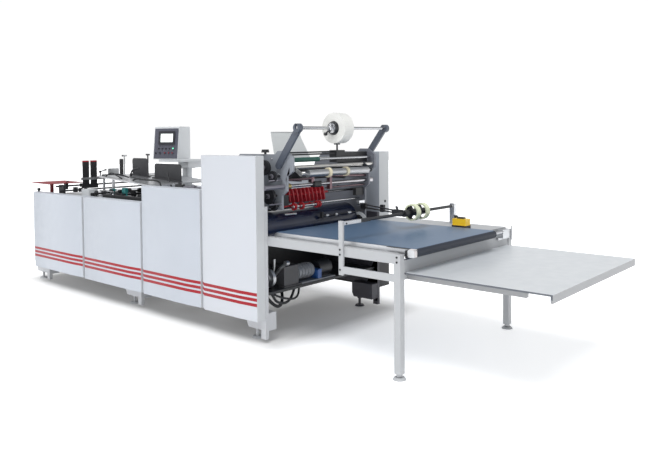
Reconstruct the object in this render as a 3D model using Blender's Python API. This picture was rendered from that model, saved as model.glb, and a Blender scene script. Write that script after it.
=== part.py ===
"""Window patching machine: feeder, transport, gluing section, patching tower and delivery conveyor.

Metres, +Z up. Lengths along X are measured from the datum, the delivery end of the tower cover,
and lengths along Y from the near face of the side covers. The datum empty then sets the model's
origin at the middle of its footprint, on the floor.
"""
import math

import bmesh
import bpy
from mathutils import Matrix, Vector

# Sections along the machine, counted back from the datum, and the full width
FEEDER_LENGTH = 0.964
TRANSPORT_LENGTH = 0.932
GLUING_LENGTH = 0.779
TOWER_LENGTH = 0.610
DELIVERY_LENGTH = 1.075
MACHINE_WIDTH = 1.550
SEAT_GAP = 0.0003
TOWER_START = -TOWER_LENGTH
GLUING_START = TOWER_START - GLUING_LENGTH
TRANSPORT_START = GLUING_START - TRANSPORT_LENGTH
FEEDER_START = TRANSPORT_START - FEEDER_LENGTH

# Heights that the sections share
BED_TOP = 0.860
LOW_COVER_RISE = 0.046
GLUING_COVER_RISE = 0.138
TOWER_COVER_RISE = 0.256
LOW_COVER_TOP = BED_TOP + LOW_COVER_RISE
GLUING_COVER_TOP = LOW_COVER_TOP + GLUING_COVER_RISE
TOWER_COVER_TOP = GLUING_COVER_TOP + TOWER_COVER_RISE
TOWER_BED_TOP = BED_TOP - 0.060
BELT_TOP = BED_TOP - 0.090

# Side covers
COVER_DEPTH = 0.090
FAR_COVER_DEPTH = 0.146
COVER_BOTTOM = 0.166
GROOVE_WIDTH = 0.055
GROOVE_DEPTH = 0.030
BEND_WIDTH = 0.165
BEND_DEPTH = 0.012

# Side frames, their legs, brackets and levelling feet
FRAME_THICKNESS = 0.030
FRAME_START = FEEDER_START - 0.145
FRAME_BOTTOM = 0.190
NEAR_TOWER_FRAME_TOP = BED_TOP + 0.090
LEG_WIDTH = 0.048
LEG_BOTTOM = 0.026
LEG_ENDS = (FEEDER_START + 0.165, GLUING_START - 0.121, 0.0)
FOOT_SETBACKS = (0.266, 0.210, 0.160)
BRACKET_DEPTH = 0.075
BRACKET_BOTTOM = 0.080
BRACKET_TOP = FRAME_BOTTOM + 0.015
BRACKET_END = 0.055
BRACKET_SLANT = 0.035
FOOT_INSET = 0.040
FOOT_RADIUS = 0.042
FOOT_HEIGHT = 0.014
STUD_RADIUS = 0.011
NUT_RADIUS = 0.019
NUT_HEIGHT = 0.016

# Beds between the side frames
PANEL_THICKNESS = 0.012
BED_THICKNESS = 0.020
BELT_STRIP_WIDTH = 0.040
BELT_STRIP_HEIGHT = 0.012
BELT_STRIP_COUNT = 6
STRIP_END_INSET = 0.010
GLUING_DRUM_RADIUS = 0.140
GLUING_DRUM_HEIGHT = BED_TOP - 0.070
GLUING_DRUM_STATION = GLUING_START + 0.389
GLUING_DRUM_END = 0.020
WHEEL_ROW_STATIONS = (TRANSPORT_START + 0.120, TRANSPORT_START + 0.500, TRANSPORT_START + 0.800)
TRANSPORT_WHEEL_RADIUS = 0.030
TRANSPORT_WHEEL_WIDTH = 0.022
WHEEL_SHAFT_RADIUS = 0.008
WHEEL_RAIL_WIDTH = 0.018
WHEEL_RAIL_HEIGHT = 0.040
WHEEL_RAIL_INSET = 0.060
WHEEL_RAIL_OVERHANG = 0.030
WHEEL_RAIL_FOOT = 0.014

# Feeder
TRAY_LENGTH = 0.430
TRAY_WIDTH = 0.345
TRAY_THICKNESS = 0.006
TRAY_TOP = BED_TOP + 0.130
TRAY_CENTRE = (FEEDER_START + 0.049, 0.248)
TRAY_TURN = math.radians(-4.0)
TRAY_POST = (FEEDER_START + 0.033, 0.200)
TRAY_POST_WIDTH = 0.026
TRAY_BASE_WIDTH = 0.078
TRAY_BASE_THICKNESS = 0.010
STOP_STATION = FEEDER_START + 0.335
STOP_START = 0.376
STOP_WIDTH = 0.070
STOP_PITCH = 0.087
STOP_THICKNESS = 0.008
STOP_TOP = BED_TOP + 0.349
STOP_BOTTOM = BED_TOP + 0.110
STOP_FOLD = 0.030
STOP_STRIP_HEIGHT = 0.040
STOP_COLUMN = (0.392, 0.422)
FEED_BAR_WIDTH = 0.026
FEED_BAR_TOP = BED_TOP + 0.180
FEED_BAR_HEIGHT = 0.024
FEED_BAR_SPAN = (0.350, MACHINE_WIDTH - 0.440)
FEED_BAR_POSTS = (0.600, MACHINE_WIDTH - 0.480)
FEED_POST_RADIUS = 0.012
LEVER_PLACE = 0.560
LEVER_RISE = 0.052
LEVER_REACH = 0.060
LEVER_RADIUS = 0.006
LEVER_KNOB_RADIUS = 0.010
FENCE_START = 0.650
FENCE_WIDTH = 0.125
FENCE_RISE = 0.080
POST_GUIDE_START = 0.785
POST_GUIDE_WIDTH = 0.042
POST_GUIDE_RISE = 0.175
POST_SCREW = 0.843
POST_SCREW_RISE = 0.200
SHAFT_STATIONS = (FEEDER_START + 0.235, FEEDER_START + 0.300)
SHAFT_HEIGHTS = (BED_TOP + 0.098, BED_TOP + 0.055)
FEEDER_SHAFT_RADIUS = 0.008
BEARING_PLACES = (0.190, MACHINE_WIDTH - 0.280)
BEARING_THICKNESS = 0.022
BEARING_MARGIN = 0.016
BLOCK_STATION = FEEDER_START + 0.620
BLOCK_LENGTH = 0.135
BLOCK_SIDE = 0.200
BLOCK_DEPTH = 0.100
BLOCK_HEIGHT = 0.086
FEED_TABLE_START = FEEDER_START + 0.525
FEED_TABLE_LENGTH = 0.880
FEED_TABLE_NEAR = 0.420
FEED_TABLE_FAR = MACHINE_WIDTH - 0.390
FEED_TABLE_HIGH = BED_TOP + 0.202
FEED_TABLE_LOW = BED_TOP + 0.145
FEED_TABLE_THICKNESS = 0.012
FEED_LEG_RADIUS = 0.014
FEED_LEG_INSET = 0.060
FEED_LEG_GAPS = (2, 5)
GUIDE_SIDE = 0.800
GUIDE_THICKNESS = 0.008
GUIDE_FOOT_THICKNESS = 0.010
GUIDE_FOOT_NEAR = 0.030
GUIDE_FOOT_FAR = 0.014
GUIDE_CORNER = 0.028
GUIDE_INSET = 0.004
GUIDE_STATION = FEED_TABLE_START + 0.040
GUIDE_LENGTH = 0.270
GUIDE_TOP = BED_TOP + 0.368
GUIDE_SCREW_STEP = 0.035
GUIDE_SCREW_RISE = 0.030
LONG_GUIDE_STATION = FEED_TABLE_START + 0.430
LONG_GUIDE_LENGTH = 0.440
LONG_GUIDE_TOP = BED_TOP + 0.320
SCREW_RADIUS = 0.007
THUMB_LENGTH = 0.056
THUMB_HEIGHT = 0.016
THUMB_WIDTH = 0.010

# Control console on its post
POST_CENTRE = (FEEDER_START + 0.600, MACHINE_WIDTH - 0.080)
POST_SIZE = (0.100, 0.070)
HEAD_SIZE = (0.160, 0.126)
FLANGE_SIZE = (0.150, 0.110)
FLANGE_THICKNESS = 0.010
HEAD_RISE = 0.190
SHELF_RISE = 0.270
PEDESTAL_RISE = 0.294
POST_CORNER = 0.014
CONSOLE_SHELF = (FEEDER_START + 0.455, FEEDER_START + 0.815)
CONSOLE_SHELF_SIDES = (MACHINE_WIDTH - 0.370, MACHINE_WIDTH - 0.050)
CONSOLE_SHELF_CORNER = 0.045
CONSOLE_CENTRE = (FEEDER_START + 0.455, MACHINE_WIDTH - 0.175)
CONSOLE_WIDTH = 0.318
CONSOLE_DEPTH = 0.250
CONSOLE_HEIGHT = 0.355
CONSOLE_LEAN = 0.045
CONSOLE_CORNER = 0.012
CONSOLE_TURN = math.radians(20.0)
PANEL_MARGIN = 0.009
PANEL_PROUD = 0.005
BEZEL_CENTRE = (0.011, 0.232)
BEZEL_SIZE = (0.193, 0.138)
BEZEL_PROUD = 0.014
SCREEN_SIZE = (0.163, 0.096)
SCREEN_SUNK = 0.005
BUTTON_RADIUS = 0.0105
BUTTON_PROUD = 0.014
BUTTON_ROWS = ((0.117, (-0.089, -0.042, 0.005, 0.051, 0.100)), (0.069, (-0.125, -0.072, -0.005, 0.047, 0.091)))

# Patching cylinder, which the tower's bed, plates and belt are placed from
CYLINDER_STATION = -0.150
CYLINDER_HEIGHT = BELT_TOP
CYLINDER_RADIUS = 0.122
CYLINDER_CLEARANCE = 0.006
CYLINDER_FAR_INSET = 0.080
JOURNAL_RADIUS = 0.022
BED_CLEARANCE = 0.028
PLATE_CLEARANCE = 0.016
BELT_CLEARANCE = 0.033
RAIL_CLEARANCE = 0.008
TOWER_BED_END = CYLINDER_STATION - CYLINDER_RADIUS - BED_CLEARANCE

# Patching tower
NEAR_PLATE = 0.280
FAR_PLATE = MACHINE_WIDTH - 0.330
PLATE_THICKNESS = 0.020
PLATE_START = TOWER_START + 0.050
PLATE_TOP = TOWER_COVER_TOP + 0.005
PLATE_SLOPE = 0.100
PLATE_LOBE = 0.090
LOBE_TOP = TOWER_COVER_TOP - 0.015
LOBE_BOTTOM = TOWER_COVER_TOP - 0.115
EAR_TOP = TOWER_COVER_TOP + 0.030
EAR_SPAN = (-0.060, 0.030)
EAR_SLOPE = 0.025
NECK_EDGE = 0.030
NECK_TOP = TOWER_COVER_TOP - 0.150
NECK_BOTTOM = BELT_TOP + 0.275
NOSE_TOP = BELT_TOP + 0.240
NEAR_NOSE = -0.020
FAR_NOSE = -0.008
FAR_PLATE_BOTTOM = BELT_TOP - 0.070
KNOB_STATION = -0.194
KNOB_RADIUS = 0.030
KNOB_HEIGHT = 0.022
KNOB_STEM_RADIUS = 0.009
KNOB_STEM_RISE = 0.012
SHAFT_STATION = 0.165
SHAFT_HEIGHT = TOWER_COVER_TOP + 0.190
SHAFT_RADIUS = 0.011
SHAFT_OVERHANG = 0.012
ARM_WIDTH = 0.050
ARM_THICKNESS = 0.020
ARM_ELBOW = (0.030, TOWER_COVER_TOP + 0.015)
ARM_FOOT = (-0.050, TOWER_COVER_TOP - 0.095)
ARM_TIP = 0.014
ARM_BOSS_RADIUS = 0.032
ARM_BOSS_PROUD = 0.018
RUN_CLEARANCE = 0.0005
ROLL_RADIUS = 0.112
ROLL_CORE_RADIUS = 0.038
ROLL_START = NEAR_PLATE + 0.353
ROLL_WIDTH = 0.100
CHUCK_RADIUS = 0.052
CHUCK_WIDTH = 0.022
CHUCK_TAPER = 0.8
JAW_COUNT = 3
JAW_LENGTH = 0.026
JAW_WIDTH = 0.016
JAW_PROUD = 0.014
GREEN_ROLLER = (0.045, TOWER_COVER_TOP - 0.036)
GREEN_ROLLER_RADIUS = 0.017
GREEN_ROLLER_SPAN = (0.310, 0.600)
GREEN_SHAFT_RADIUS = 0.010
RING_ROLLER = (0.140, TOWER_COVER_TOP - 0.132)
RING_ROLLER_RADIUS = 0.0265
RING_ROLLER_SPAN = (NEAR_PLATE + 0.100, MACHINE_WIDTH - 0.490)
RING_AXLE_RADIUS = 0.008
RING_RADIUS = 0.036
RING_WIDTH = 0.022
RING_PLACES = (NEAR_PLATE + 0.320, NEAR_PLATE + 0.520)
CARRIER_TUBE = (0.066, TOWER_COVER_TOP - 0.088)
CARRIER_TUBE_RADIUS = 0.014
CARRIER_LINKS = (NEAR_PLATE + 0.026, MACHINE_WIDTH - 0.450)
CARRIER_LINK_WIDTH = 0.026
CARRIER_LINK_THICKNESS = 0.010
CARRIER_TUBE_EYE = 0.0182
CARRIER_ROLLER_EYE = 0.0156
CLAMP_SHAFT = (0.000, BELT_TOP + 0.307)
CLAMP_TUBE_RADIUS = 0.017
CLAMP_SHAFT_RADIUS = 0.012
CLAMP_CAP_RADIUS = 0.023
CLAMP_CAP_LENGTH = 0.050
CLAMP_COLLAR_RADIUS = 0.021
CLAMP_COLLAR_LENGTH = 0.040
CLAMP_BLOCK = (0.585, 0.660)
CLAMP_BLOCK_WIDTH = 0.046
WEB_ROD_PLACES = ((-0.030, TOWER_COVER_TOP + 0.014), (0.008, TOWER_COVER_TOP))
WEB_ROD_RADIUS = 0.006
WEB_BLOCK = (0.835, 0.935)
WEB_BLOCK_SPAN = (-0.052, 0.020)
WEB_BLOCK_HEIGHTS = (TOWER_COVER_TOP - 0.070, TOWER_COVER_TOP + 0.024)
WEB_SCREW_RISE = 0.042
BRAKE_SPAN = (-0.058, 0.016)
BRAKE_HEIGHTS = (TOWER_COVER_TOP - 0.085, TOWER_COVER_TOP + 0.007)
FIN_ROD = (-0.100, BELT_TOP + 0.230)
FIN_ROD_RADIUS = 0.009
FIN_COUNT = 10
FIN_SPAN = (0.420, 0.800)
FIN_THICKNESS = 0.012
FIN_LENGTH = 0.110
FIN_WIDTH = 0.045
FIN_HANG = 0.55
FIN_LEAN = math.radians(12.0)
ARM_ROD = (-0.070, BELT_TOP + 0.156)
WHEEL_ROD = (-0.035, BELT_TOP + 0.152)
WHEEL_ROD_RADIUS = 0.008
WHEEL_ROD_SPAN = (0.395, 0.705)
WHEEL_RADIUS = 0.027
WHEEL_WIDTH = 0.016
WHEEL_PLACES = (0.420, 0.500, 0.660, 0.685)
WHEEL_ARM_PLACES = (0.450, 0.620)
WHEEL_ARM_WIDTH = 0.022
WHEEL_ARM_THICKNESS = 0.012
CHUTE_STATION = -0.300
CHUTE_NEAR = 0.430
CHUTE_FAR = 0.800
CHUTE_TOP = TOWER_COVER_TOP + 0.170
CHUTE_BOTTOM = TOWER_COVER_TOP - 0.050
CHUTE_DEPTH = 0.100
CHUTE_THICKNESS = 0.004
CHUTE_FLARE = 0.050
CHUTE_LEAN = 0.030
CHUTE_TIE = (-0.060, -0.020)
SHELF_TOP = 0.340
SHELF_THICKNESS = 0.020
SHELF_START = TOWER_START + 0.050
SHELF_END = -0.030

# Drive under the tower
GEARBOX_SIZE = 0.150
GEARBOX_STATION = -0.125
GEARBOX_PLACE = 0.400
MOTOR_RADIUS = 0.055
MOTOR_LENGTH = 0.200
MOTOR_RIBS = 5
RIB_PROUD = 0.006
RIB_WIDTH = 0.007
FAN_MOTOR_RADIUS = 0.062
FAN_MOTOR_PLACE = 0.800
FAN_MOTOR_LENGTH = 0.140
DRIVE_PLATE_THICKNESS = 0.010
DRIVE_SHAFT_RADIUS = 0.014
PULLEY_RADIUS = 0.068
PULLEY_WIDTH = 0.030
PULLEY_HUB_RADIUS = 0.026
PULLEY_WEB = 0.014
PULLEY_RIM = 0.012
PULLEY_PLACE = 0.225

# Delivery conveyor
POST_START = DELIVERY_LENGTH
POST_WIDTH = 0.045
POST_BOTTOM = 0.034
NEAR_POST = 0.100
FAR_POST = MACHINE_WIDTH - 0.072
RAIL_START = CYLINDER_STATION + CYLINDER_RADIUS + RAIL_CLEARANCE
RAIL_BOTTOM = BELT_TOP - 0.093
RAIL_TOP = BELT_TOP - 0.031
RAIL_WIDTH = 0.044
BEAM_BOTTOM = BELT_TOP - 0.185
BEAM_TOP = BELT_TOP - 0.070
BEAM_WIDTH = 0.030
BEAM_STEP = 0.008
BELT_START = CYLINDER_STATION + CYLINDER_RADIUS + BELT_CLEARANCE
BELT_END = DELIVERY_LENGTH + 0.115
BELT_NEAR = 0.182
BELT_FAR = MACHINE_WIDTH - 0.395
BELT_DEPTH = 0.053
BELT_THICKNESS = 0.003
BELT_STEPS = 8
BED_MARGIN = 0.006
LUG_LENGTH = 0.050
LUG_INSET = 0.100
LUG_HEIGHTS = (-0.012, -0.006)
END_SHAFT_RADIUS = 0.010
END_SHAFT_FAR = MACHINE_WIDTH - 0.272
BEARING_BLOCK_WIDTH = 0.048
BEARING_BLOCK_HEIGHT = 0.046
DECK_THICKNESS = 0.014
DECK_TOP = BELT_TOP - 0.020
DECK_CLEARANCE = 0.012
SHIELD_THICKNESS = 0.005
SHIELD_SPAN = (-0.118, 0.056)
SHIELD_BOTTOM = BELT_TOP - 0.024
SHIELD_RISE = 0.076
SHIELD_TAB = (0.006, 0.050)
SHIELD_TAB_DROP = 0.040
SHIELD_STEPS = 12
UPRIGHT_STATION = 0.650
UPRIGHT_WIDTH = 0.035
UPRIGHT_THICKNESS = 0.015
UPRIGHT_BOTTOM = BELT_TOP - 0.208
UPRIGHT_TOP = BELT_TOP + 0.132
LOWER_RAIL_BOTTOM = BELT_TOP - 0.196
LOWER_RAIL_TOP = BELT_TOP - 0.152
BAR_HEIGHT = BELT_TOP + 0.115
BAR_WIDTH = 0.022
BAR_SQUARE_END = 0.400
BAR_RADIUS = 0.0108
BAR_FOOT = (MACHINE_WIDTH - 0.110, MACHINE_WIDTH - 0.080)
BAR_FOOT_WIDTH = 0.040
BAR_FOOT_RISE = 0.020
REEL_RADIUS = 0.059
REEL_HUB_RADIUS = 0.024
REEL_HUB_PROUD = 0.004
REEL_WIDTH = 0.042
REEL_PLACES = (MACHINE_WIDTH - 0.665, MACHINE_WIDTH - 0.550)
REEL_BORE_GAP = 0.0006
REEL_SPOKES = 3
SPOKE_WIDTH = 0.014
SPOKE_INSET = 0.006
REEL_RIM = 0.012
COLLAR_PLACE = MACHINE_WIDTH - 0.735
COLLAR_WIDTH = 0.050
COLLAR_RADIUS = 0.024
TWIN_ROD_RADIUS = 0.006
TWIN_ROD_SPACING = 0.024
ARM_BLOCK_SPAN = (-0.030, 0.020)
ARM_BLOCK_DEPTH = 0.030
ARM_BLOCK_HEIGHTS = (BAR_HEIGHT - 0.043, BAR_HEIGHT + 0.003)
BOX_STATION = 0.800
BOX_LENGTH = 0.115
BOX_CENTRE = MACHINE_WIDTH - 0.2975
BOX_WIDTH = 0.075
BOX_HEIGHT = 0.070
BOX_BASE_HEIGHT = 0.024
BOX_STEP = 0.003
ROCKER_LENGTH = 0.055
ROCKER_WIDTH = 0.035
ROCKER_RISE = 0.012
TABLE_LENGTH = 0.928
TABLE_END = DELIVERY_LENGTH + TABLE_LENGTH
TABLE_NEAR = 0.155
TABLE_FAR = MACHINE_WIDTH - 0.095
TABLE_TOP = BELT_TOP - 0.142
TABLE_THICKNESS = 0.010
TABLE_FLANGE = 0.045
TABLE_FLANGE_THICKNESS = 0.012
BEARER_HEIGHT = 0.034
BEARER_WIDTH = 0.030
BEARER_INSET = 0.030
BEARER_SHORT = 0.153

ROUND_SIDES = 24
MEDIUM_SIDES = 16
SMALL_SIDES = 12
WHEEL_SIDES = 10
LARGE_SIDES = 36
OVERCUT = 0.010
BITE = 0.002

FRAME_INNER = COVER_DEPTH + SEAT_GAP + FRAME_THICKNESS
FAR_FRAME_OUTER = MACHINE_WIDTH - FAR_COVER_DEPTH - SEAT_GAP
FAR_FRAME_INNER = FAR_FRAME_OUTER - FRAME_THICKNESS
BED_SIDES = (FRAME_INNER + SEAT_GAP, FAR_FRAME_INNER - SEAT_GAP)
STRIP_PITCH = (BED_SIDES[1] - BED_SIDES[0]) / (BELT_STRIP_COUNT + 1)
NEAR_PLATE_INNER = NEAR_PLATE + PLATE_THICKNESS
FAR_PLATE_OUTER = FAR_PLATE + PLATE_THICKNESS
PLATE_SIDES = (NEAR_PLATE_INNER + SEAT_GAP, FAR_PLATE - SEAT_GAP)
RAIL_FRONT = FRAME_INNER + SEAT_GAP
DECK_NEAR = BELT_FAR + DECK_CLEARANCE


def clear_scene():
    for obj in list(bpy.data.objects):
        bpy.data.objects.remove(obj, do_unlink=True)


def make_material(name, colour, roughness, metallic=0.0):
    material = bpy.data.materials.new(name)
    material.use_nodes = True
    shader = material.node_tree.nodes["Principled BSDF"]
    shader.inputs["Base Color"].default_value = (*colour, 1.0)
    shader.inputs["Roughness"].default_value = roughness
    shader.inputs["Metallic"].default_value = metallic
    return material


def make_materials():
    return {
        "cover": make_material("cover_paint", (0.80, 0.82, 0.86), 0.45),
        "frame": make_material("frame_paint", (0.28, 0.31, 0.37), 0.50),
        "dark": make_material("dark_paint", (0.05, 0.05, 0.06), 0.50),
        "white": make_material("white_paint", (0.86, 0.87, 0.88), 0.40),
        "aluminium": make_material("aluminium", (0.75, 0.76, 0.78), 0.35, 0.9),
        "steel": make_material("bright_steel", (0.60, 0.61, 0.63), 0.25, 1.0),
        "navy": make_material("navy_lacquer", (0.03, 0.05, 0.12), 0.30),
        "belt": make_material("conveyor_belt", (0.16, 0.22, 0.32), 0.60),
        "red": make_material("red_paint", (0.45, 0.04, 0.06), 0.45),
        "green": make_material("green_rubber", (0.03, 0.22, 0.18), 0.55),
        "film": make_material("film_roll", (0.88, 0.88, 0.86), 0.35),
        "tape": make_material("tape_reel", (0.80, 0.84, 0.60), 0.50),
        "yellow": make_material("yellow_plastic", (0.85, 0.60, 0.05), 0.45),
    }


def around(middle, size):
    """The two ends of a span of one size about its middle."""
    return middle - size / 2, middle + size / 2


def box_shape(x_span, y_span, z_span):
    """Closed box between two values along each axis."""
    shape = bmesh.new()
    bmesh.ops.create_cube(shape, size=1.0)
    spans = (x_span, y_span, z_span)
    for vert in shape.verts:
        vert.co = Vector([sum(s) / 2 + v * (s[1] - s[0]) for v, s in zip(vert.co, spans)])
    return shape


def prism_shape(outline, axis, start, end):
    """Outline of two coordinates pushed along the third axis, from start to end."""
    shape = bmesh.new()
    places = {
        "X": lambda a, b: Vector((start, a, b)),
        "Y": lambda a, b: Vector((a, start, b)),
        "Z": lambda a, b: Vector((a, b, start)),
    }
    push = {"X": Vector((end - start, 0, 0)), "Y": Vector((0, end - start, 0)), "Z": Vector((0, 0, end - start))}
    face = shape.faces.new([shape.verts.new(places[axis](a, b)) for a, b in outline])
    result = bmesh.ops.extrude_face_region(shape, geom=[face])
    moved = [item for item in result["geom"] if isinstance(item, bmesh.types.BMVert)]
    bmesh.ops.translate(shape, verts=moved, vec=push[axis])
    bmesh.ops.recalc_face_normals(shape, faces=shape.faces)
    return shape


def rod_shape(axis, place, start, end, radius, sides=ROUND_SIDES, end_radius=None):
    """Round bar along X, Y or Z; place holds the other two coordinates in order."""
    shape = bmesh.new()
    radius_2 = radius if end_radius is None else end_radius
    bmesh.ops.create_cone(shape, cap_ends=True, segments=sides, radius1=radius, radius2=radius_2,
                          depth=end - start)
    middle = (start + end) / 2
    turns = {"X": Matrix.Rotation(math.pi / 2, 4, "Y"), "Y": Matrix.Rotation(-math.pi / 2, 4, "X"),
             "Z": Matrix.Identity(4)}
    centres = {"X": (middle, *place), "Y": (place[0], middle, place[1]), "Z": (*place, middle)}
    shape.transform(Matrix.Translation(Vector(centres[axis])) @ turns[axis])
    return shape


def strut_shape(start, end, radius, sides=SMALL_SIDES):
    """Round bar between two points."""
    shape = bmesh.new()
    start, end = Vector(start), Vector(end)
    bmesh.ops.create_cone(shape, cap_ends=True, segments=sides, radius1=radius, radius2=radius,
                          depth=(end - start).length)
    turn = (end - start).to_track_quat("Z", "Y").to_matrix().to_4x4()
    shape.transform(Matrix.Translation((start + end) / 2) @ turn)
    return shape


def spun_shape(section, place, sides=ROUND_SIDES):
    """Section of (radius, y) points spun into a closed ring about a line along Y."""
    shape = bmesh.new()
    x, z = place
    verts = [shape.verts.new(Vector((x + r, y, z))) for r, y in section]
    edges = [shape.edges.new((verts[i - 1], verts[i])) for i in range(len(verts))]
    bmesh.ops.spin(shape, geom=verts + edges, cent=(x, 0, z), axis=(0, 1, 0), angle=math.tau,
                   steps=sides, use_merge=True, use_duplicate=False)
    bmesh.ops.recalc_face_normals(shape, faces=shape.faces)
    return shape


def tube_shape(y_span, place, radius, bore, sides=ROUND_SIDES):
    """Plain tube along Y."""
    near, far = y_span
    return spun_shape([(radius, near), (radius, far), (bore, far), (bore, near)], place, sides)


def strip_outline(points, width):
    """Outline of a flat bar of constant width along a bent centre line of two coordinates."""
    left, right = [], []
    for i, point in enumerate(points):
        here = Vector(point)
        before = (here - Vector(points[i - 1])).normalized() if i else None
        after = (Vector(points[i + 1]) - here).normalized() if i + 1 < len(points) else None
        along = (before or after) if not (before and after) else (before + after).normalized()
        side = Vector((-along.y, along.x))
        reach = width / 2 / (side.dot(Vector((-(after or before).y, (after or before).x))))
        left.append(tuple(here + side * reach))
        right.append(tuple(here - side * reach))
    return left + right[::-1]


def rounded(outline, radius, corners=None, steps=3):
    """Outline with the numbered corners, or all of them, turned into arcs of one radius."""
    points = []
    for i, point in enumerate(outline):
        if corners is not None and i not in corners:
            points.append(point)
            continue
        here = Vector(point)
        back = (Vector(outline[i - 1]) - here).normalized()
        ahead = (Vector(outline[(i + 1) % len(outline)]) - here).normalized()
        half = back.angle(ahead) / 2
        centre = here + (back + ahead).normalized() * radius / math.sin(half)
        first = here + back * radius / math.tan(half) - centre
        last = here + ahead * radius / math.tan(half) - centre
        for step in range(steps + 1):
            points.append(tuple(centre + first.lerp(last, step / steps).normalized() * radius))
    return points


def rectangle(x_span, y_span):
    return [(x_span[0], y_span[0]), (x_span[1], y_span[0]), (x_span[1], y_span[1]), (x_span[0], y_span[1])]


def as_object(name, shape):
    mesh = bpy.data.meshes.new(name)
    shape.to_mesh(mesh)
    shape.free()
    obj = bpy.data.objects.new(name, mesh)
    bpy.context.scene.collection.objects.link(obj)
    return obj


def combine(name, solids, material, cuts=()):
    """One closed body: the first solid, joined by the other solids, less the cuts."""
    base = as_object(name, solids[0])
    tools = [(as_object("tool", s), "UNION") for s in solids[1:]]
    tools += [(as_object("tool", s), "DIFFERENCE") for s in cuts]
    for tool, operation in tools:
        modifier = base.modifiers.new(operation.lower(), "BOOLEAN")
        modifier.operation = operation
        modifier.object = tool
    bpy.context.view_layer.update()
    evaluated = base.evaluated_get(bpy.context.evaluated_depsgraph_get())
    mesh = bpy.data.meshes.new_from_object(evaluated)
    base.modifiers.clear()
    base.data = mesh
    for tool, operation in tools:
        bpy.data.objects.remove(tool, do_unlink=True)
    mesh.materials.clear()
    mesh.materials.append(material)
    mesh.shade_smooth()
    mesh.set_sharp_from_angle(angle=math.radians(35))
    mesh.name = name
    return base


def set_origin(obj, point):
    """Moves an object's origin to a point of its parent's frame; its shape stays where it is."""
    obj.data.transform(Matrix.Translation(-Vector(point)))
    obj.location = Vector(point)


def cover_plan(start, end, depth, far_side):
    """Plan of one side cover: a folded-back strip at its left, a flat face, a slight bend at its right."""
    plan = [(start, GROOVE_DEPTH), (start + GROOVE_WIDTH, 0.0), (end - BEND_WIDTH, 0.0), (end, BEND_DEPTH),
            (end, depth), (start, depth)]
    if far_side:
        plan = [(x, MACHINE_WIDTH - y) for x, y in plan]
    return plan


def build_covers(materials):
    sections = (
        ("feeder", FEEDER_START, TRANSPORT_START, LOW_COVER_TOP),
        ("transport", TRANSPORT_START, GLUING_START, LOW_COVER_TOP),
        ("gluing", GLUING_START, TOWER_START, GLUING_COVER_TOP),
        ("tower", TOWER_START, SEAT_GAP, TOWER_COVER_TOP),
    )
    covers = []
    for section, start, end, top in sections:
        for side, depth in (("near", COVER_DEPTH), ("far", FAR_COVER_DEPTH)):
            plan = cover_plan(start, end - SEAT_GAP, depth, side == "far")
            shape = prism_shape(plan, "Z", COVER_BOTTOM, top)
            covers.append(combine(f"{side}_{section}_cover", [shape], materials["cover"]))
    return covers


def frame_outline(tower_top):
    """Side frame seen from the near side, with its narrow legs."""
    outline = [(FRAME_START, BED_TOP), (TOWER_START, BED_TOP), (TOWER_START, tower_top), (0.0, tower_top)]
    for right in reversed(LEG_ENDS):
        if right < 0.0:
            outline.append((right, FRAME_BOTTOM))
        outline += [(right, LEG_BOTTOM), (right - LEG_WIDTH, LEG_BOTTOM), (right - LEG_WIDTH, FRAME_BOTTOM)]
    return outline + [(FRAME_START, FRAME_BOTTOM)]


def foot_shapes(x, y, bottom, top):
    """Levelling foot: a disc on the floor, its stud and the nut under what it carries."""
    return [rod_shape("Z", (x, y), 0.0, FOOT_HEIGHT, FOOT_RADIUS, MEDIUM_SIDES, FOOT_RADIUS * 0.75),
            rod_shape("Z", (x, y), FOOT_HEIGHT / 2, top, STUD_RADIUS, SMALL_SIDES),
            rod_shape("Z", (x, y), bottom - NUT_HEIGHT, bottom + BITE, NUT_RADIUS, 6)]


def build_frames(materials):
    pieces = []
    near = (COVER_DEPTH + SEAT_GAP, FRAME_INNER)
    far = (FAR_FRAME_INNER, FAR_FRAME_OUTER)
    for name, plate, inward, top in (("near_side_frame", near, 1, NEAR_TOWER_FRAME_TOP),
                                     ("far_side_frame", far, -1, TOWER_BED_TOP)):
        inner = plate[1] if inward > 0 else plate[0]
        bracket_y = sorted((inner - inward * OVERCUT, inner + inward * BRACKET_DEPTH))
        shapes = [prism_shape(frame_outline(top), "Y", *plate)]
        for right, setback in zip(LEG_ENDS, FOOT_SETBACKS):
            foot = right - setback
            start = max(foot - BRACKET_END, FRAME_START + BRACKET_END / 10)
            bracket = [(start, BRACKET_TOP), (start, BRACKET_BOTTOM + BRACKET_SLANT),
                       (start + BRACKET_SLANT / 2, BRACKET_BOTTOM), (right - BITE, BRACKET_BOTTOM),
                       (right - BITE, BRACKET_TOP)]
            shapes.append(prism_shape(bracket, "Y", *bracket_y))
            shapes += foot_shapes(foot, inner + inward * FOOT_INSET, BRACKET_BOTTOM, BRACKET_BOTTOM + NUT_HEIGHT)
        pieces.append(combine(name, shapes, materials["frame"]))
    pieces.append(combine("feeder_end_panel", [box_shape(
        (FRAME_START, FRAME_START + PANEL_THICKNESS), BED_SIDES, (BRACKET_TOP + SEAT_GAP, BED_TOP))],
        materials["cover"]))
    pieces.append(combine("tower_bulkhead", [box_shape(
        (TOWER_START, TOWER_START + PANEL_THICKNESS), BED_SIDES, (FRAME_BOTTOM, TOWER_BED_TOP))],
        materials["dark"]))
    return pieces


def strip_middle(i):
    """Middle of one belt strip of the transport bed, across the machine."""
    return BED_SIDES[0] + STRIP_PITCH * (i + 1)


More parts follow.
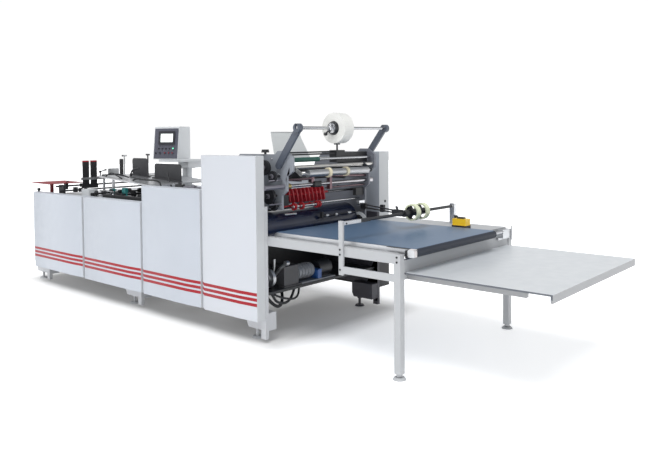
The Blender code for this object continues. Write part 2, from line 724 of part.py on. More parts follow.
def build_beds(materials):
    bed_heights = (BED_TOP - BED_THICKNESS, BED_TOP)
    pieces = [combine("feeder_bed", [box_shape(
        (FRAME_START + PANEL_THICKNESS + SEAT_GAP, TRANSPORT_START - SEAT_GAP), BED_SIDES, bed_heights)],
        materials["frame"])]
    strips = [box_shape((TRANSPORT_START, GLUING_START - SEAT_GAP), BED_SIDES, bed_heights)]
    for i in range(BELT_STRIP_COUNT):
        strips.append(box_shape((TRANSPORT_START + STRIP_END_INSET, GLUING_START - STRIP_END_INSET),
                                around(strip_middle(i), BELT_STRIP_WIDTH),
                                (BED_TOP - BED_THICKNESS / 2, BED_TOP + BELT_STRIP_HEIGHT)))
    pieces.append(combine("transport_bed", strips, materials["dark"]))
    pieces.append(build_transport_wheels(materials))
    place = (GLUING_DRUM_STATION, GLUING_DRUM_HEIGHT)
    pieces.append(combine("gluing_drum", [
        rod_shape("Y", place, BED_SIDES[0] + GLUING_DRUM_END, BED_SIDES[1] - GLUING_DRUM_END,
                  GLUING_DRUM_RADIUS, LARGE_SIDES),
        rod_shape("Y", place, *BED_SIDES, JOURNAL_RADIUS)], materials["steel"]))
    pieces.append(combine("tower_bed", [box_shape(
        (TOWER_START + PANEL_THICKNESS + SEAT_GAP, TOWER_BED_END), BED_SIDES,
        (TOWER_BED_TOP - BED_THICKNESS, TOWER_BED_TOP))], materials["dark"]))
    pieces.append(combine("motor_shelf", [box_shape(
        (SHELF_START, SHELF_END), BED_SIDES, (SHELF_TOP - SHELF_THICKNESS, SHELF_TOP))], materials["dark"]))
    return pieces


def build_transport_wheels(materials):
    """Rows of hold-down wheels over the belt strips, on shafts between two rails with feet."""
    height = BED_TOP + BELT_STRIP_HEIGHT + SEAT_GAP + TRANSPORT_WHEEL_RADIUS
    rails = (BED_SIDES[0] + WHEEL_RAIL_INSET, BED_SIDES[1] - WHEEL_RAIL_INSET)
    shapes = []
    for y in rails:
        span = (WHEEL_ROW_STATIONS[0] - WHEEL_RAIL_OVERHANG, WHEEL_ROW_STATIONS[-1] + WHEEL_RAIL_OVERHANG)
        shapes.append(box_shape(span, around(y, WHEEL_RAIL_WIDTH), around(height, WHEEL_RAIL_HEIGHT)))
        for x in span:
            inset = WHEEL_RAIL_FOOT if x == span[0] else -WHEEL_RAIL_FOOT
            shapes.append(box_shape(around(x + inset, WHEEL_RAIL_FOOT), around(y, WHEEL_RAIL_FOOT),
                                    (BED_TOP + SEAT_GAP, height)))
    for x in WHEEL_ROW_STATIONS:
        shapes.append(rod_shape("Y", (x, height), rails[0], rails[1], WHEEL_SHAFT_RADIUS, SMALL_SIDES))
        for i in range(BELT_STRIP_COUNT):
            shapes.append(rod_shape("Y", (x, height), *around(strip_middle(i), TRANSPORT_WHEEL_WIDTH),
                                    TRANSPORT_WHEEL_RADIUS, WHEEL_SIDES))
    return combine("transport_wheels", shapes, materials["dark"])


def feed_table_height(x):
    slope = (FEED_TABLE_HIGH - FEED_TABLE_LOW) / FEED_TABLE_LENGTH
    return FEED_TABLE_HIGH - slope * (x - FEED_TABLE_START)


def thumb_screw(x, y, bottom, top):
    """Long screw with a flat thumb piece on it."""
    return [rod_shape("Z", (x, y), bottom, top + BITE, SCREW_RADIUS, SMALL_SIDES),
            box_shape(around(x, THUMB_LENGTH), around(y, THUMB_WIDTH), (top, top + THUMB_HEIGHT))]


def build_tray(materials):
    tray = box_shape(around(0.0, TRAY_LENGTH), around(0.0, TRAY_WIDTH), (TRAY_TOP - TRAY_THICKNESS, TRAY_TOP))
    tray.transform(Matrix.Translation((*TRAY_CENTRE, 0)) @ Matrix.Rotation(TRAY_TURN, 4, "Z"))
    x, y = TRAY_POST
    floor = BED_TOP + SEAT_GAP
    post = box_shape(around(x, TRAY_POST_WIDTH), around(y, TRAY_POST_WIDTH),
                     (floor, TRAY_TOP - TRAY_THICKNESS / 2))
    base = box_shape(around(x, TRAY_BASE_WIDTH), around(y, TRAY_BASE_WIDTH), (floor, floor + TRAY_BASE_THICKNESS))
    return combine("feed_tray", [tray, base, post], materials["red"])


def build_stops(materials):
    face = (STOP_STATION - STOP_THICKNESS / 2, STOP_STATION + STOP_THICKNESS / 2)
    ends = (STOP_START - OVERCUT, STOP_START + STOP_PITCH + STOP_WIDTH + OVERCUT)
    strip = (STOP_STATION - FEED_BAR_WIDTH / 2, face[1])
    low = STOP_BOTTOM - STOP_STRIP_HEIGHT / 2
    shapes = [box_shape(strip, ends, (STOP_BOTTOM - STOP_STRIP_HEIGHT, STOP_BOTTOM))]
    for side in (STOP_START, STOP_START + STOP_PITCH):
        outline = rounded(rectangle((side, side + STOP_WIDTH), (low, STOP_TOP)), STOP_THICKNESS, (2, 3))
        shapes.append(prism_shape(outline, "X", face[0] - BITE, face[1] - BITE))
        shapes.append(box_shape((STOP_STATION - STOP_FOLD, face[0]), (side + OVERCUT, side + STOP_WIDTH - OVERCUT),
                                (STOP_TOP - STOP_THICKNESS, STOP_TOP - BITE)))
    shapes.append(box_shape((strip[0] + BITE, strip[1] - BITE), STOP_COLUMN,
                            (BED_TOP + SEAT_GAP, low)))
    return combine("pile_stops", shapes, materials["dark"])


def build_feed_bar(materials):
    """Cross bar on two posts, with its crank lever, fence and the narrow post guide on it."""
    start = STOP_STATION + STOP_THICKNESS / 2 + SEAT_GAP
    middle = start + FEED_BAR_WIDTH / 2
    inside = FEED_BAR_TOP - FEED_BAR_HEIGHT / 2
    knee = (middle, LEVER_PLACE, FEED_BAR_TOP + LEVER_RISE)
    grip = (middle, LEVER_PLACE + LEVER_REACH, FEED_BAR_TOP + LEVER_RISE + LEVER_REACH / 4)
    shapes = [box_shape((start, start + FEED_BAR_WIDTH), FEED_BAR_SPAN,
                        (FEED_BAR_TOP - FEED_BAR_HEIGHT, FEED_BAR_TOP))]
    for y in FEED_BAR_POSTS:
        shapes.append(rod_shape("Z", (middle, y), BED_TOP + SEAT_GAP, inside, FEED_POST_RADIUS, SMALL_SIDES))
    shapes.append(strut_shape((middle, LEVER_PLACE, inside), knee, LEVER_RADIUS))
    shapes.append(rod_shape("Y", (middle, knee[2]), *around(LEVER_PLACE, 2 * LEVER_KNOB_RADIUS),
                            LEVER_KNOB_RADIUS, SMALL_SIDES))
    shapes.append(strut_shape(knee, grip, LEVER_RADIUS * 0.8))
    shapes.append(rod_shape("Y", (middle, grip[2]), grip[1] - LEVER_KNOB_RADIUS, grip[1] + LEVER_KNOB_RADIUS,
                            LEVER_KNOB_RADIUS * 0.8, SMALL_SIDES))
    for side, width, rise, shift in ((FENCE_START, FENCE_WIDTH, FENCE_RISE, -BITE),
                                     (POST_GUIDE_START, POST_GUIDE_WIDTH, POST_GUIDE_RISE, BITE)):
        outline = rounded(rectangle((side, side + width), (inside, FEED_BAR_TOP + rise)), GUIDE_THICKNESS, (2, 3))
        shapes.append(prism_shape(outline, "X", middle + shift - GUIDE_THICKNESS / 2,
                                  middle + shift + GUIDE_THICKNESS / 2))
    shapes.append(rod_shape("Z", (middle, POST_SCREW), inside, FEED_BAR_TOP + POST_SCREW_RISE + BITE,
                            SCREW_RADIUS, SMALL_SIDES))
    shapes.append(box_shape(around(middle, THUMB_WIDTH), around(POST_SCREW, THUMB_LENGTH),
                            (FEED_BAR_TOP + POST_SCREW_RISE, FEED_BAR_TOP + POST_SCREW_RISE + THUMB_HEIGHT)))
    return combine("feed_bar", shapes, materials["aluminium"])


def build_feeder_shafts(materials):
    """Two cross shafts of the feeder in a bearing plate at each side."""
    near, far = BEARING_PLACES
    shapes = []
    for y in BEARING_PLACES:
        span = (SHAFT_STATIONS[0] - BEARING_MARGIN, SHAFT_STATIONS[1] + BEARING_MARGIN)
        outline = rounded(rectangle(span, (BED_TOP + SEAT_GAP, SHAFT_HEIGHTS[0] + BEARING_MARGIN)),
                          BEARING_MARGIN, (2, 3))
        shapes.append(prism_shape(outline, "Y", *around(y, BEARING_THICKNESS)))
    for x, z in zip(SHAFT_STATIONS, SHAFT_HEIGHTS):
        shapes.append(rod_shape("Y", (x, z), near - LEG_WIDTH, far + LEG_WIDTH, FEEDER_SHAFT_RADIUS, SMALL_SIDES))
    return combine("feeder_shafts", shapes, materials["dark"])


def build_feed_table(materials):
    end = FEED_TABLE_START + FEED_TABLE_LENGTH
    outline = [(FEED_TABLE_START, FEED_TABLE_HIGH), (end, FEED_TABLE_LOW),
               (end, FEED_TABLE_LOW - FEED_TABLE_THICKNESS),
               (FEED_TABLE_START, FEED_TABLE_HIGH - FEED_TABLE_THICKNESS)]
    shapes = [prism_shape(outline, "Y", FEED_TABLE_NEAR, FEED_TABLE_FAR)]
    for x in (FEED_TABLE_START + FEED_LEG_INSET, end - FEED_LEG_INSET):
        for gap in FEED_LEG_GAPS:
            y = strip_middle(gap) - STRIP_PITCH / 2
            shapes.append(rod_shape("Z", (x, y), BED_TOP + SEAT_GAP,
                                    feed_table_height(x) - FEED_TABLE_THICKNESS / 2, FEED_LEG_RADIUS,
                                    SMALL_SIDES))
    return combine("feed_table", shapes, materials["aluminium"])


def build_guide(name, start, length, top, screwed, materials):
    """Upright side guide on the feed table, with its foot and, on one, a thumb screw at its end."""
    end = start + length
    foot_end = end + GUIDE_SCREW_STEP + THUMB_WIDTH if screwed else end
    seat = feed_table_height(start) + SEAT_GAP
    seat_end = feed_table_height(foot_end) + SEAT_GAP
    rise = GUIDE_FOOT_THICKNESS
    foot = [(start, seat), (foot_end, seat_end), (foot_end, seat_end + rise), (start, seat + rise)]
    plate = [(start + GUIDE_INSET, seat + rise / 2), (end - GUIDE_INSET, feed_table_height(end) + rise / 2),
             (end - GUIDE_INSET, top), (start + GUIDE_INSET, top)]
    shapes = [prism_shape(foot, "Y", GUIDE_SIDE - GUIDE_FOOT_NEAR, GUIDE_SIDE + GUIDE_FOOT_FAR),
              prism_shape(rounded(plate, GUIDE_CORNER, (2, 3)), "Y", GUIDE_SIDE, GUIDE_SIDE + GUIDE_THICKNESS)]
    if screwed:
        x = end + GUIDE_SCREW_STEP
        shapes += thumb_screw(x, GUIDE_SIDE - GUIDE_FOOT_NEAR / 2, feed_table_height(x) + rise / 2,
                              top + GUIDE_SCREW_RISE)
    return combine(name, shapes, materials["dark"])


def build_feeder(materials):
    block = prism_shape(rounded(rectangle((BLOCK_STATION, BLOCK_STATION + BLOCK_LENGTH),
                                          (BLOCK_SIDE, BLOCK_SIDE + BLOCK_DEPTH)), GUIDE_THICKNESS), "Z",
                        BED_TOP + SEAT_GAP, BED_TOP + BLOCK_HEIGHT)
    return [
        build_tray(materials), build_stops(materials), build_feed_bar(materials), build_feeder_shafts(materials),
        combine("gauge_block", [block], materials["white"]), build_feed_table(materials),
        build_guide("side_guide", GUIDE_STATION, GUIDE_LENGTH, GUIDE_TOP, True, materials),
        build_guide("long_side_guide", LONG_GUIDE_STATION, LONG_GUIDE_LENGTH, LONG_GUIDE_TOP, False, materials)]


def post_block(size, corner, bottom, top):
    """Round-cornered block of the console's post."""
    plan = rectangle(around(POST_CENTRE[0], size[0]), around(POST_CENTRE[1], size[1]))
    return prism_shape(rounded(plan, corner), "Z", bottom, top)


def build_console(materials):
    floor = LOW_COVER_TOP + SEAT_GAP
    head, shelf, top = (LOW_COVER_TOP + rise for rise in (HEAD_RISE, SHELF_RISE, PEDESTAL_RISE))
    shelf_plan = rounded(rectangle(CONSOLE_SHELF, CONSOLE_SHELF_SIDES), CONSOLE_SHELF_CORNER, (0, 1))
    pieces = [combine("control_pedestal", [
        prism_shape(shelf_plan, "Z", shelf, top),
        post_block(HEAD_SIZE, POST_CORNER * 2, head, shelf + BITE),
        post_block(POST_SIZE, POST_CORNER, floor, head + BITE),
        post_block(FLANGE_SIZE, POST_CORNER, floor, floor + FLANGE_THICKNESS)], materials["white"])]
    half_width, half_depth = CONSOLE_WIDTH / 2, CONSOLE_DEPTH / 2
    profile = [(-half_depth, 0.0), (half_depth, 0.0), (half_depth, CONSOLE_HEIGHT),
               (-half_depth + CONSOLE_LEAN, CONSOLE_HEIGHT)]
    place = Matrix.Translation((*CONSOLE_CENTRE, top + SEAT_GAP)) @ Matrix.Rotation(CONSOLE_TURN, 4, "Z")
    console = prism_shape(rounded(profile, CONSOLE_CORNER, (2, 3)), "X", -half_width, half_width)
    console.transform(place)
    pieces.append(combine("control_console", [console], materials["white"]))

    lean = math.atan2(CONSOLE_LEAN, CONSOLE_HEIGHT)
    slant = CONSOLE_HEIGHT / math.cos(lean) - CONSOLE_CORNER
    across = around(0.0, CONSOLE_WIDTH - 2 * PANEL_MARGIN)
    face = -SEAT_GAP
    shapes = [box_shape(across, (face - PANEL_PROUD, face), (PANEL_MARGIN, slant - PANEL_MARGIN)),
              box_shape(around(BEZEL_CENTRE[0], BEZEL_SIZE[0]), (face - BEZEL_PROUD, face - BITE),
                        around(BEZEL_CENTRE[1], BEZEL_SIZE[1]))]
    for height, places in BUTTON_ROWS:
        for x in places:
            shapes.append(rod_shape("Y", (x, height), face - BUTTON_PROUD, face - BITE, BUTTON_RADIUS, SMALL_SIDES))
    window = box_shape(around(BEZEL_CENTRE[0], SCREEN_SIZE[0]), (face - BEZEL_PROUD - OVERCUT,
                                                                 face - BEZEL_PROUD + SCREEN_SUNK),
                       around(BEZEL_CENTRE[1], SCREEN_SIZE[1]))
    seat = place @ Matrix.Translation((0, -half_depth, 0)) @ Matrix.Rotation(-lean, 4, "X")
    for shape in shapes + [window]:
        shape.transform(seat)
    pieces.append(combine("console_panel", shapes, materials["dark"], [window]))
    return pieces


def plate_top():
    """Upper edge shared by both tower plates, from the lobe to the feeder end."""
    return [(PLATE_LOBE, LOBE_BOTTOM), (PLATE_LOBE, LOBE_TOP), (EAR_SPAN[1], EAR_TOP), (EAR_SPAN[0], EAR_TOP),
            (EAR_SPAN[0] - EAR_SLOPE, PLATE_TOP), (PLATE_START + PLATE_SLOPE, PLATE_TOP),
            (PLATE_START, PLATE_TOP - PLATE_SLOPE)]


def build_tower_plates(materials):
    bed = TOWER_BED_TOP + SEAT_GAP
    over_cylinder = CYLINDER_HEIGHT + CYLINDER_RADIUS + PLATE_CLEARANCE
    near = [(PLATE_START, bed), (TOWER_BED_END, bed), (TOWER_BED_END, over_cylinder), (NEAR_NOSE, over_cylinder),
            (NEAR_NOSE, NOSE_TOP), (NECK_EDGE, NECK_BOTTOM), (NECK_EDGE, NECK_TOP)] + plate_top()
    bed_edge = TOWER_BED_END + SEAT_GAP
    far = [(PLATE_START, bed), (bed_edge, bed), (bed_edge, FAR_PLATE_BOTTOM), (FAR_NOSE, FAR_PLATE_BOTTOM),
           (FAR_NOSE, NOSE_TOP), (NECK_EDGE, NECK_BOTTOM), (NECK_EDGE, NECK_TOP)] + plate_top()
    middle = NEAR_PLATE + PLATE_THICKNESS / 2
    stem_top = PLATE_TOP + KNOB_STEM_RISE
    knob = [rod_shape("Z", (KNOB_STATION, middle), PLATE_TOP - OVERCUT, stem_top + BITE, KNOB_STEM_RADIUS,
                      SMALL_SIDES),
            rod_shape("Z", (KNOB_STATION, middle), stem_top, stem_top + KNOB_HEIGHT, KNOB_RADIUS,
                      end_radius=KNOB_RADIUS * 0.85)]
    pieces = []
    for name, outline, start, radius, extra in (
            ("near_tower_plate", near, NEAR_PLATE, CLAMP_TUBE_RADIUS, knob),
            ("far_tower_plate", far, FAR_PLATE, CLAMP_SHAFT_RADIUS, [])):
        hole = rod_shape("Y", CLAMP_SHAFT, start - OVERCUT, start + PLATE_THICKNESS + OVERCUT,
                         radius + RUN_CLEARANCE)
        plate = prism_shape(outline, "Y", start, start + PLATE_THICKNESS)
        pieces.append(combine(name, [plate] + extra, materials["frame"], [hole]))
    return pieces


def build_unwind(materials):
    top = (SHAFT_STATION, SHAFT_HEIGHT)
    rise = Vector((SHAFT_STATION - ARM_ELBOW[0], SHAFT_HEIGHT - ARM_ELBOW[1])).normalized()
    tip = (SHAFT_STATION + rise.x * ARM_TIP, SHAFT_HEIGHT + rise.y * ARM_TIP)
    outline = rounded(strip_outline([ARM_FOOT, ARM_ELBOW, tip], ARM_WIDTH), ARM_WIDTH * 0.45, (0, 2, 3, 5))
    slot_half = SHAFT_RADIUS + RUN_CLEARANCE
    pieces = []
    for name, inner, outward in (("near_unwind_arm", NEAR_PLATE - SEAT_GAP, -1),
                                 ("far_unwind_arm", FAR_PLATE_OUTER + SEAT_GAP, 1)):
        span = sorted((inner, inner + outward * ARM_THICKNESS))
        boss = sorted((inner + outward * BITE, inner + outward * (ARM_THICKNESS + ARM_BOSS_PROUD)))
        through = (min(span[0], boss[0]) - OVERCUT, max(span[1], boss[1]) + OVERCUT)
        cuts = [rod_shape("Y", top, *through, slot_half),
                box_shape(around(SHAFT_STATION, 2 * slot_half), through,
                          (SHAFT_HEIGHT, SHAFT_HEIGHT + 2 * ARM_BOSS_RADIUS))]
        arm = [prism_shape(outline, "Y", *span), rod_shape("Y", top, *boss, ARM_BOSS_RADIUS)]
        pieces.append(combine(name, arm, materials["frame"], cuts))
    start = NEAR_PLATE - ARM_THICKNESS - SHAFT_OVERHANG
    end = FAR_PLATE_OUTER + ARM_THICKNESS + SHAFT_OVERHANG
    roll_end = ROLL_START + ROLL_WIDTH
    small = CHUCK_RADIUS * CHUCK_TAPER
    shapes = [rod_shape("Y", top, start, end, SHAFT_RADIUS),
              rod_shape("Y", top, ROLL_START - CHUCK_WIDTH, ROLL_START - SEAT_GAP, small, end_radius=CHUCK_RADIUS),
              rod_shape("Y", top, ROLL_START - BITE, roll_end + BITE, ROLL_CORE_RADIUS - SEAT_GAP, LARGE_SIDES),
              rod_shape("Y", top, roll_end + SEAT_GAP, roll_end + CHUCK_WIDTH, CHUCK_RADIUS, end_radius=small)]
    for i in range(JAW_COUNT):
        jaw = box_shape((SHAFT_RADIUS * 0.8, SHAFT_RADIUS * 0.8 + JAW_LENGTH),
                        (ROLL_START - CHUCK_WIDTH - JAW_PROUD, ROLL_START - CHUCK_WIDTH / 2),
                        around(0.0, JAW_WIDTH))
        jaw.transform(Matrix.Translation((SHAFT_STATION, 0, SHAFT_HEIGHT))
                      @ Matrix.Rotation(math.radians(30) + i * math.tau / JAW_COUNT, 4, "Y"))
        shapes.append(jaw)
    shaft = combine("unwind_shaft", shapes, materials["steel"])
    set_origin(shaft, (SHAFT_STATION, ROLL_START, SHAFT_HEIGHT))
    wound = tube_shape((ROLL_START, roll_end), top, ROLL_RADIUS, ROLL_CORE_RADIUS, LARGE_SIDES)
    roll = combine("film_roll", [wound], materials["film"])
    set_origin(roll, (SHAFT_STATION, ROLL_START, SHAFT_HEIGHT))
    return pieces + [shaft, roll]


def build_web_path(materials):
    """Green roller, ring roller in its carrier, and the two thin rods to the brake."""
    pieces = [combine("green_roller", [
        rod_shape("Y", GREEN_ROLLER, *PLATE_SIDES, GREEN_SHAFT_RADIUS, SMALL_SIDES),
        rod_shape("Y", GREEN_ROLLER, *GREEN_ROLLER_SPAN, GREEN_ROLLER_RADIUS)], materials["green"])]
    link = strip_outline([CARRIER_TUBE, RING_ROLLER], CARRIER_LINK_WIDTH)
    shapes = [rod_shape("Y", CARRIER_TUBE, *PLATE_SIDES, CARRIER_TUBE_RADIUS)]
    for start in CARRIER_LINKS:
        end = start + CARRIER_LINK_THICKNESS
        shapes.append(prism_shape(link, "Y", start, end))
        shapes.append(rod_shape("Y", RING_ROLLER, start, end, CARRIER_ROLLER_EYE, MEDIUM_SIDES))
        shapes.append(rod_shape("Y", CARRIER_TUBE, start, end, CARRIER_TUBE_EYE, MEDIUM_SIDES))
    axle = (CARRIER_LINKS[0], CARRIER_LINKS[1] + CARRIER_LINK_THICKNESS)
    hole = rod_shape("Y", RING_ROLLER, axle[0] - OVERCUT, axle[1] + OVERCUT, RING_AXLE_RADIUS + RUN_CLEARANCE)
    pieces.append(combine("ring_roller_carrier", shapes, materials["steel"], [hole]))
    shapes = [rod_shape("Y", RING_ROLLER, *RING_ROLLER_SPAN, RING_ROLLER_RADIUS),
              rod_shape("Y", RING_ROLLER, *axle, RING_AXLE_RADIUS)]
    for place in RING_PLACES:
        shapes.append(rod_shape("Y", RING_ROLLER, *around(place, RING_WIDTH), RING_RADIUS))
    roller = combine("ring_roller", shapes, materials["aluminium"])
    set_origin(roller, (RING_ROLLER[0], sum(RING_ROLLER_SPAN) / 2, RING_ROLLER[1]))
    pieces.append(roller)

    shapes = [box_shape(WEB_BLOCK_SPAN, WEB_BLOCK, WEB_BLOCK_HEIGHTS)]
    for place in WEB_ROD_PLACES:
        shapes.append(rod_shape("Y", place, PLATE_SIDES[0], sum(WEB_BLOCK) / 2, WEB_ROD_RADIUS, SMALL_SIDES))
    top = WEB_BLOCK_HEIGHTS[1]
    shapes += thumb_screw(sum(WEB_BLOCK_SPAN) / 2, sum(WEB_BLOCK) / 2, top - OVERCUT, top + WEB_SCREW_RISE)
    pieces.append(combine("web_rods", shapes, materials["dark"]))
    pieces.append(combine("brake_unit", [box_shape(BRAKE_SPAN, (WEB_BLOCK[1] + SEAT_GAP, PLATE_SIDES[1]),
                                                   BRAKE_HEIGHTS)], materials["dark"]))
    return pieces


def build_clamp_shaft(materials):
    block = around(CLAMP_SHAFT[0], CLAMP_BLOCK_WIDTH), around(CLAMP_SHAFT[1], CLAMP_BLOCK_WIDTH)
    return combine("clamp_shaft", [
        rod_shape("Y", CLAMP_SHAFT, COVER_DEPTH + SEAT_GAP, PLATE_SIDES[0] + CLAMP_COLLAR_LENGTH / 2,
                  CLAMP_TUBE_RADIUS),
        rod_shape("Y", CLAMP_SHAFT, PLATE_SIDES[0], PLATE_SIDES[0] + CLAMP_COLLAR_LENGTH, CLAMP_COLLAR_RADIUS),
        rod_shape("Y", CLAMP_SHAFT, NEAR_PLATE_INNER, FAR_PLATE_OUTER + CLAMP_CAP_LENGTH / 2, CLAMP_SHAFT_RADIUS),
        prism_shape(rounded(rectangle(*block), OVERCUT), "Y", *CLAMP_BLOCK),
        rod_shape("Y", CLAMP_SHAFT, FAR_PLATE_OUTER + SEAT_GAP, FAR_PLATE_OUTER + CLAMP_CAP_LENGTH,
                  CLAMP_CAP_RADIUS)], materials["steel"])


def build_fins(materials):
    shapes = [rod_shape("Y", FIN_ROD, *PLATE_SIDES, FIN_ROD_RADIUS, SMALL_SIDES)]
    pitch = (FIN_SPAN[1] - FIN_SPAN[0]) / (FIN_COUNT - 1)
    for i in range(FIN_COUNT):
        outline = rectangle(around(0.0, FIN_WIDTH), (-FIN_LENGTH * FIN_HANG, FIN_LENGTH * (1 - FIN_HANG)))
        fin = prism_shape(rounded(outline, FIN_WIDTH / 3, steps=2), "Y", *around(0.0, FIN_THICKNESS))
        fin.transform(Matrix.Translation((FIN_ROD[0], FIN_SPAN[0] + i * pitch, FIN_ROD[1]))
                      @ Matrix.Rotation(FIN_LEAN, 4, "X"))
        shapes.append(fin)
    return combine("separator_fins", shapes, materials["red"])


def build_press_wheels(materials):
    """Press wheels on a short axle, carried by two arms from a rod between the plates."""
    shapes = [rod_shape("Y", ARM_ROD, *PLATE_SIDES, WHEEL_ROD_RADIUS, SMALL_SIDES)]
    arm = strip_outline([ARM_ROD, WHEEL_ROD], WHEEL_ARM_WIDTH)
    for place in WHEEL_ARM_PLACES:
        span = around(place, WHEEL_ARM_THICKNESS)
        shapes.append(prism_shape(arm, "Y", *span))
        for end in (ARM_ROD, WHEEL_ROD):
            shapes.append(rod_shape("Y", end, span[0] - BITE, span[1] + BITE, WHEEL_ARM_WIDTH * 0.6, SMALL_SIDES))
    shapes.append(rod_shape("Y", WHEEL_ROD, *WHEEL_ROD_SPAN, WHEEL_ROD_RADIUS * 0.9, SMALL_SIDES))
    for place in WHEEL_PLACES:
        shapes.append(rod_shape("Y", WHEEL_ROD, *around(place, WHEEL_WIDTH), WHEEL_RADIUS, MEDIUM_SIDES))
    return combine("press_wheels", shapes, materials["steel"])


def build_cylinder(materials):
    place = (CYLINDER_STATION, CYLINDER_HEIGHT)
    cylinder = combine("patching_cylinder", [
        rod_shape("Y", place, FRAME_INNER + CYLINDER_CLEARANCE, FAR_PLATE - CYLINDER_FAR_INSET,
                  CYLINDER_RADIUS, LARGE_SIDES),
        rod_shape("Y", place, FRAME_INNER + 2 * SEAT_GAP, FAR_PLATE - 2 * SEAT_GAP, JOURNAL_RADIUS)],
        materials["navy"])
    set_origin(cylinder, (CYLINDER_STATION, (FRAME_INNER + FAR_PLATE) / 2, CYLINDER_HEIGHT))
    return cylinder


def build_chute(materials):
    back = CHUTE_STATION - CHUTE_DEPTH
    front = CHUTE_STATION + CHUTE_LEAN
    wall = CHUTE_THICKNESS
    over = CHUTE_TOP + CHUTE_FLARE
    under = CHUTE_BOTTOM - CHUTE_FLARE
    outline = [(back, CHUTE_BOTTOM), (front, CHUTE_BOTTOM), (CHUTE_STATION, CHUTE_TOP),
               (back - CHUTE_FLARE, CHUTE_TOP)]
    hollow = [(back + wall, under), (front - wall, under), (CHUTE_STATION - wall, over),
              (back - CHUTE_FLARE + wall, over)]
    tie = box_shape((CHUTE_STATION + CHUTE_TIE[0], CHUTE_STATION + CHUTE_TIE[1]), PLATE_SIDES,
                    (CHUTE_BOTTOM, CHUTE_BOTTOM + BEAM_WIDTH))
    return combine("film_chute", [prism_shape(outline, "Y", CHUTE_NEAR, CHUTE_FAR), tie], materials["cover"],
                   [prism_shape(hollow, "Y", CHUTE_NEAR + wall, CHUTE_FAR - wall)])


def build_drive(materials):
    """Ribbed gear motor and a fan motor on one plate, and the pulley that the gear motor turns."""
    seat = SHELF_TOP + SEAT_GAP
    body_x = around(GEARBOX_STATION, GEARBOX_SIZE)
    body_y = around(GEARBOX_PLACE, GEARBOX_SIZE)
    top = seat + GEARBOX_SIZE
    axis = (GEARBOX_STATION, (seat + top) / 2)
    fan_axis = (GEARBOX_STATION, seat + FAN_MOTOR_RADIUS + DRIVE_PLATE_THICKNESS)
    fan_y = around(FAN_MOTOR_PLACE, FAN_MOTOR_LENGTH)
    plate_x = around(GEARBOX_STATION, GEARBOX_SIZE + 2 * OVERCUT)
    shapes = [box_shape(plate_x, (body_y[0] - OVERCUT, fan_y[1] + OVERCUT), (seat, seat + DRIVE_PLATE_THICKNESS)),
              box_shape(body_x, body_y, (seat + BITE, top)),
              rod_shape("Y", axis, body_y[1] - OVERCUT, body_y[1] + MOTOR_LENGTH, MOTOR_RADIUS, MEDIUM_SIDES),
              rod_shape("Y", fan_axis, *fan_y, FAN_MOTOR_RADIUS),
              box_shape(around(GEARBOX_STATION, FAN_MOTOR_RADIUS), (fan_y[0] + BITE, fan_y[1] - BITE),
                        (seat + BITE, fan_axis[1])),
              rod_shape("Y", axis, PULLEY_PLACE + PULLEY_WIDTH + SEAT_GAP, body_y[0] + OVERCUT,
                        DRIVE_SHAFT_RADIUS, SMALL_SIDES)]
    pitch = MOTOR_LENGTH / (MOTOR_RIBS + 1)
    for i in range(MOTOR_RIBS):
        shapes.append(rod_shape("Y", axis, *around(body_y[1] + pitch * (i + 1), RIB_WIDTH),
                                MOTOR_RADIUS + RIB_PROUD, MEDIUM_SIDES))
    near, far = PULLEY_PLACE, PULLEY_PLACE + PULLEY_WIDTH
    middle = (near + far) / 2
    rim = PULLEY_RADIUS - PULLEY_RIM
    web = PULLEY_WEB / 2
    pulley = [rod_shape("Y", axis, near, far, PULLEY_HUB_RADIUS, MEDIUM_SIDES),
              rod_shape("Y", axis, middle - web, middle + web, rim + BITE),
              tube_shape((near + BITE, far - BITE), axis, PULLEY_RADIUS, rim)]
    return [combine("drive_gearmotor", shapes, materials["frame"]),
            combine("drive_pulley", pulley, materials["aluminium"])]


def belt_loop(inset):
    """Racetrack outline of the belt, moved inwards by the inset."""
    radius = BELT_DEPTH / 2
    height = BELT_TOP - radius
    points = []
    for middle, turn in ((BELT_END - radius, -math.pi / 2), (BELT_START + radius, math.pi / 2)):
        for step in range(BELT_STEPS + 1):
            angle = turn + step * math.pi / BELT_STEPS
            points.append((middle + (radius - inset) * math.cos(angle),
                           height + (radius - inset) * math.sin(angle)))
    return points


def build_rails(materials):
    rail_back = RAIL_FRONT + RAIL_WIDTH
    beam_x = (SEAT_GAP, POST_START - SEAT_GAP)
    far_post = (FAR_POST, FAR_POST + POST_WIDTH)
    return [
        combine("near_rail", [box_shape((RAIL_START, beam_x[1]), (RAIL_FRONT, rail_back), (RAIL_BOTTOM, RAIL_TOP))],
                materials["aluminium"]),
        combine("far_rail", [
            box_shape(beam_x, (DECK_NEAR, far_post[1]), (DECK_TOP - DECK_THICKNESS, DECK_TOP)),
            box_shape(beam_x, far_post, (RAIL_BOTTOM, DECK_TOP)),
            box_shape(beam_x, (DECK_NEAR, DECK_NEAR + RAIL_WIDTH), (RAIL_BOTTOM, DECK_TOP))],
            materials["aluminium"])]


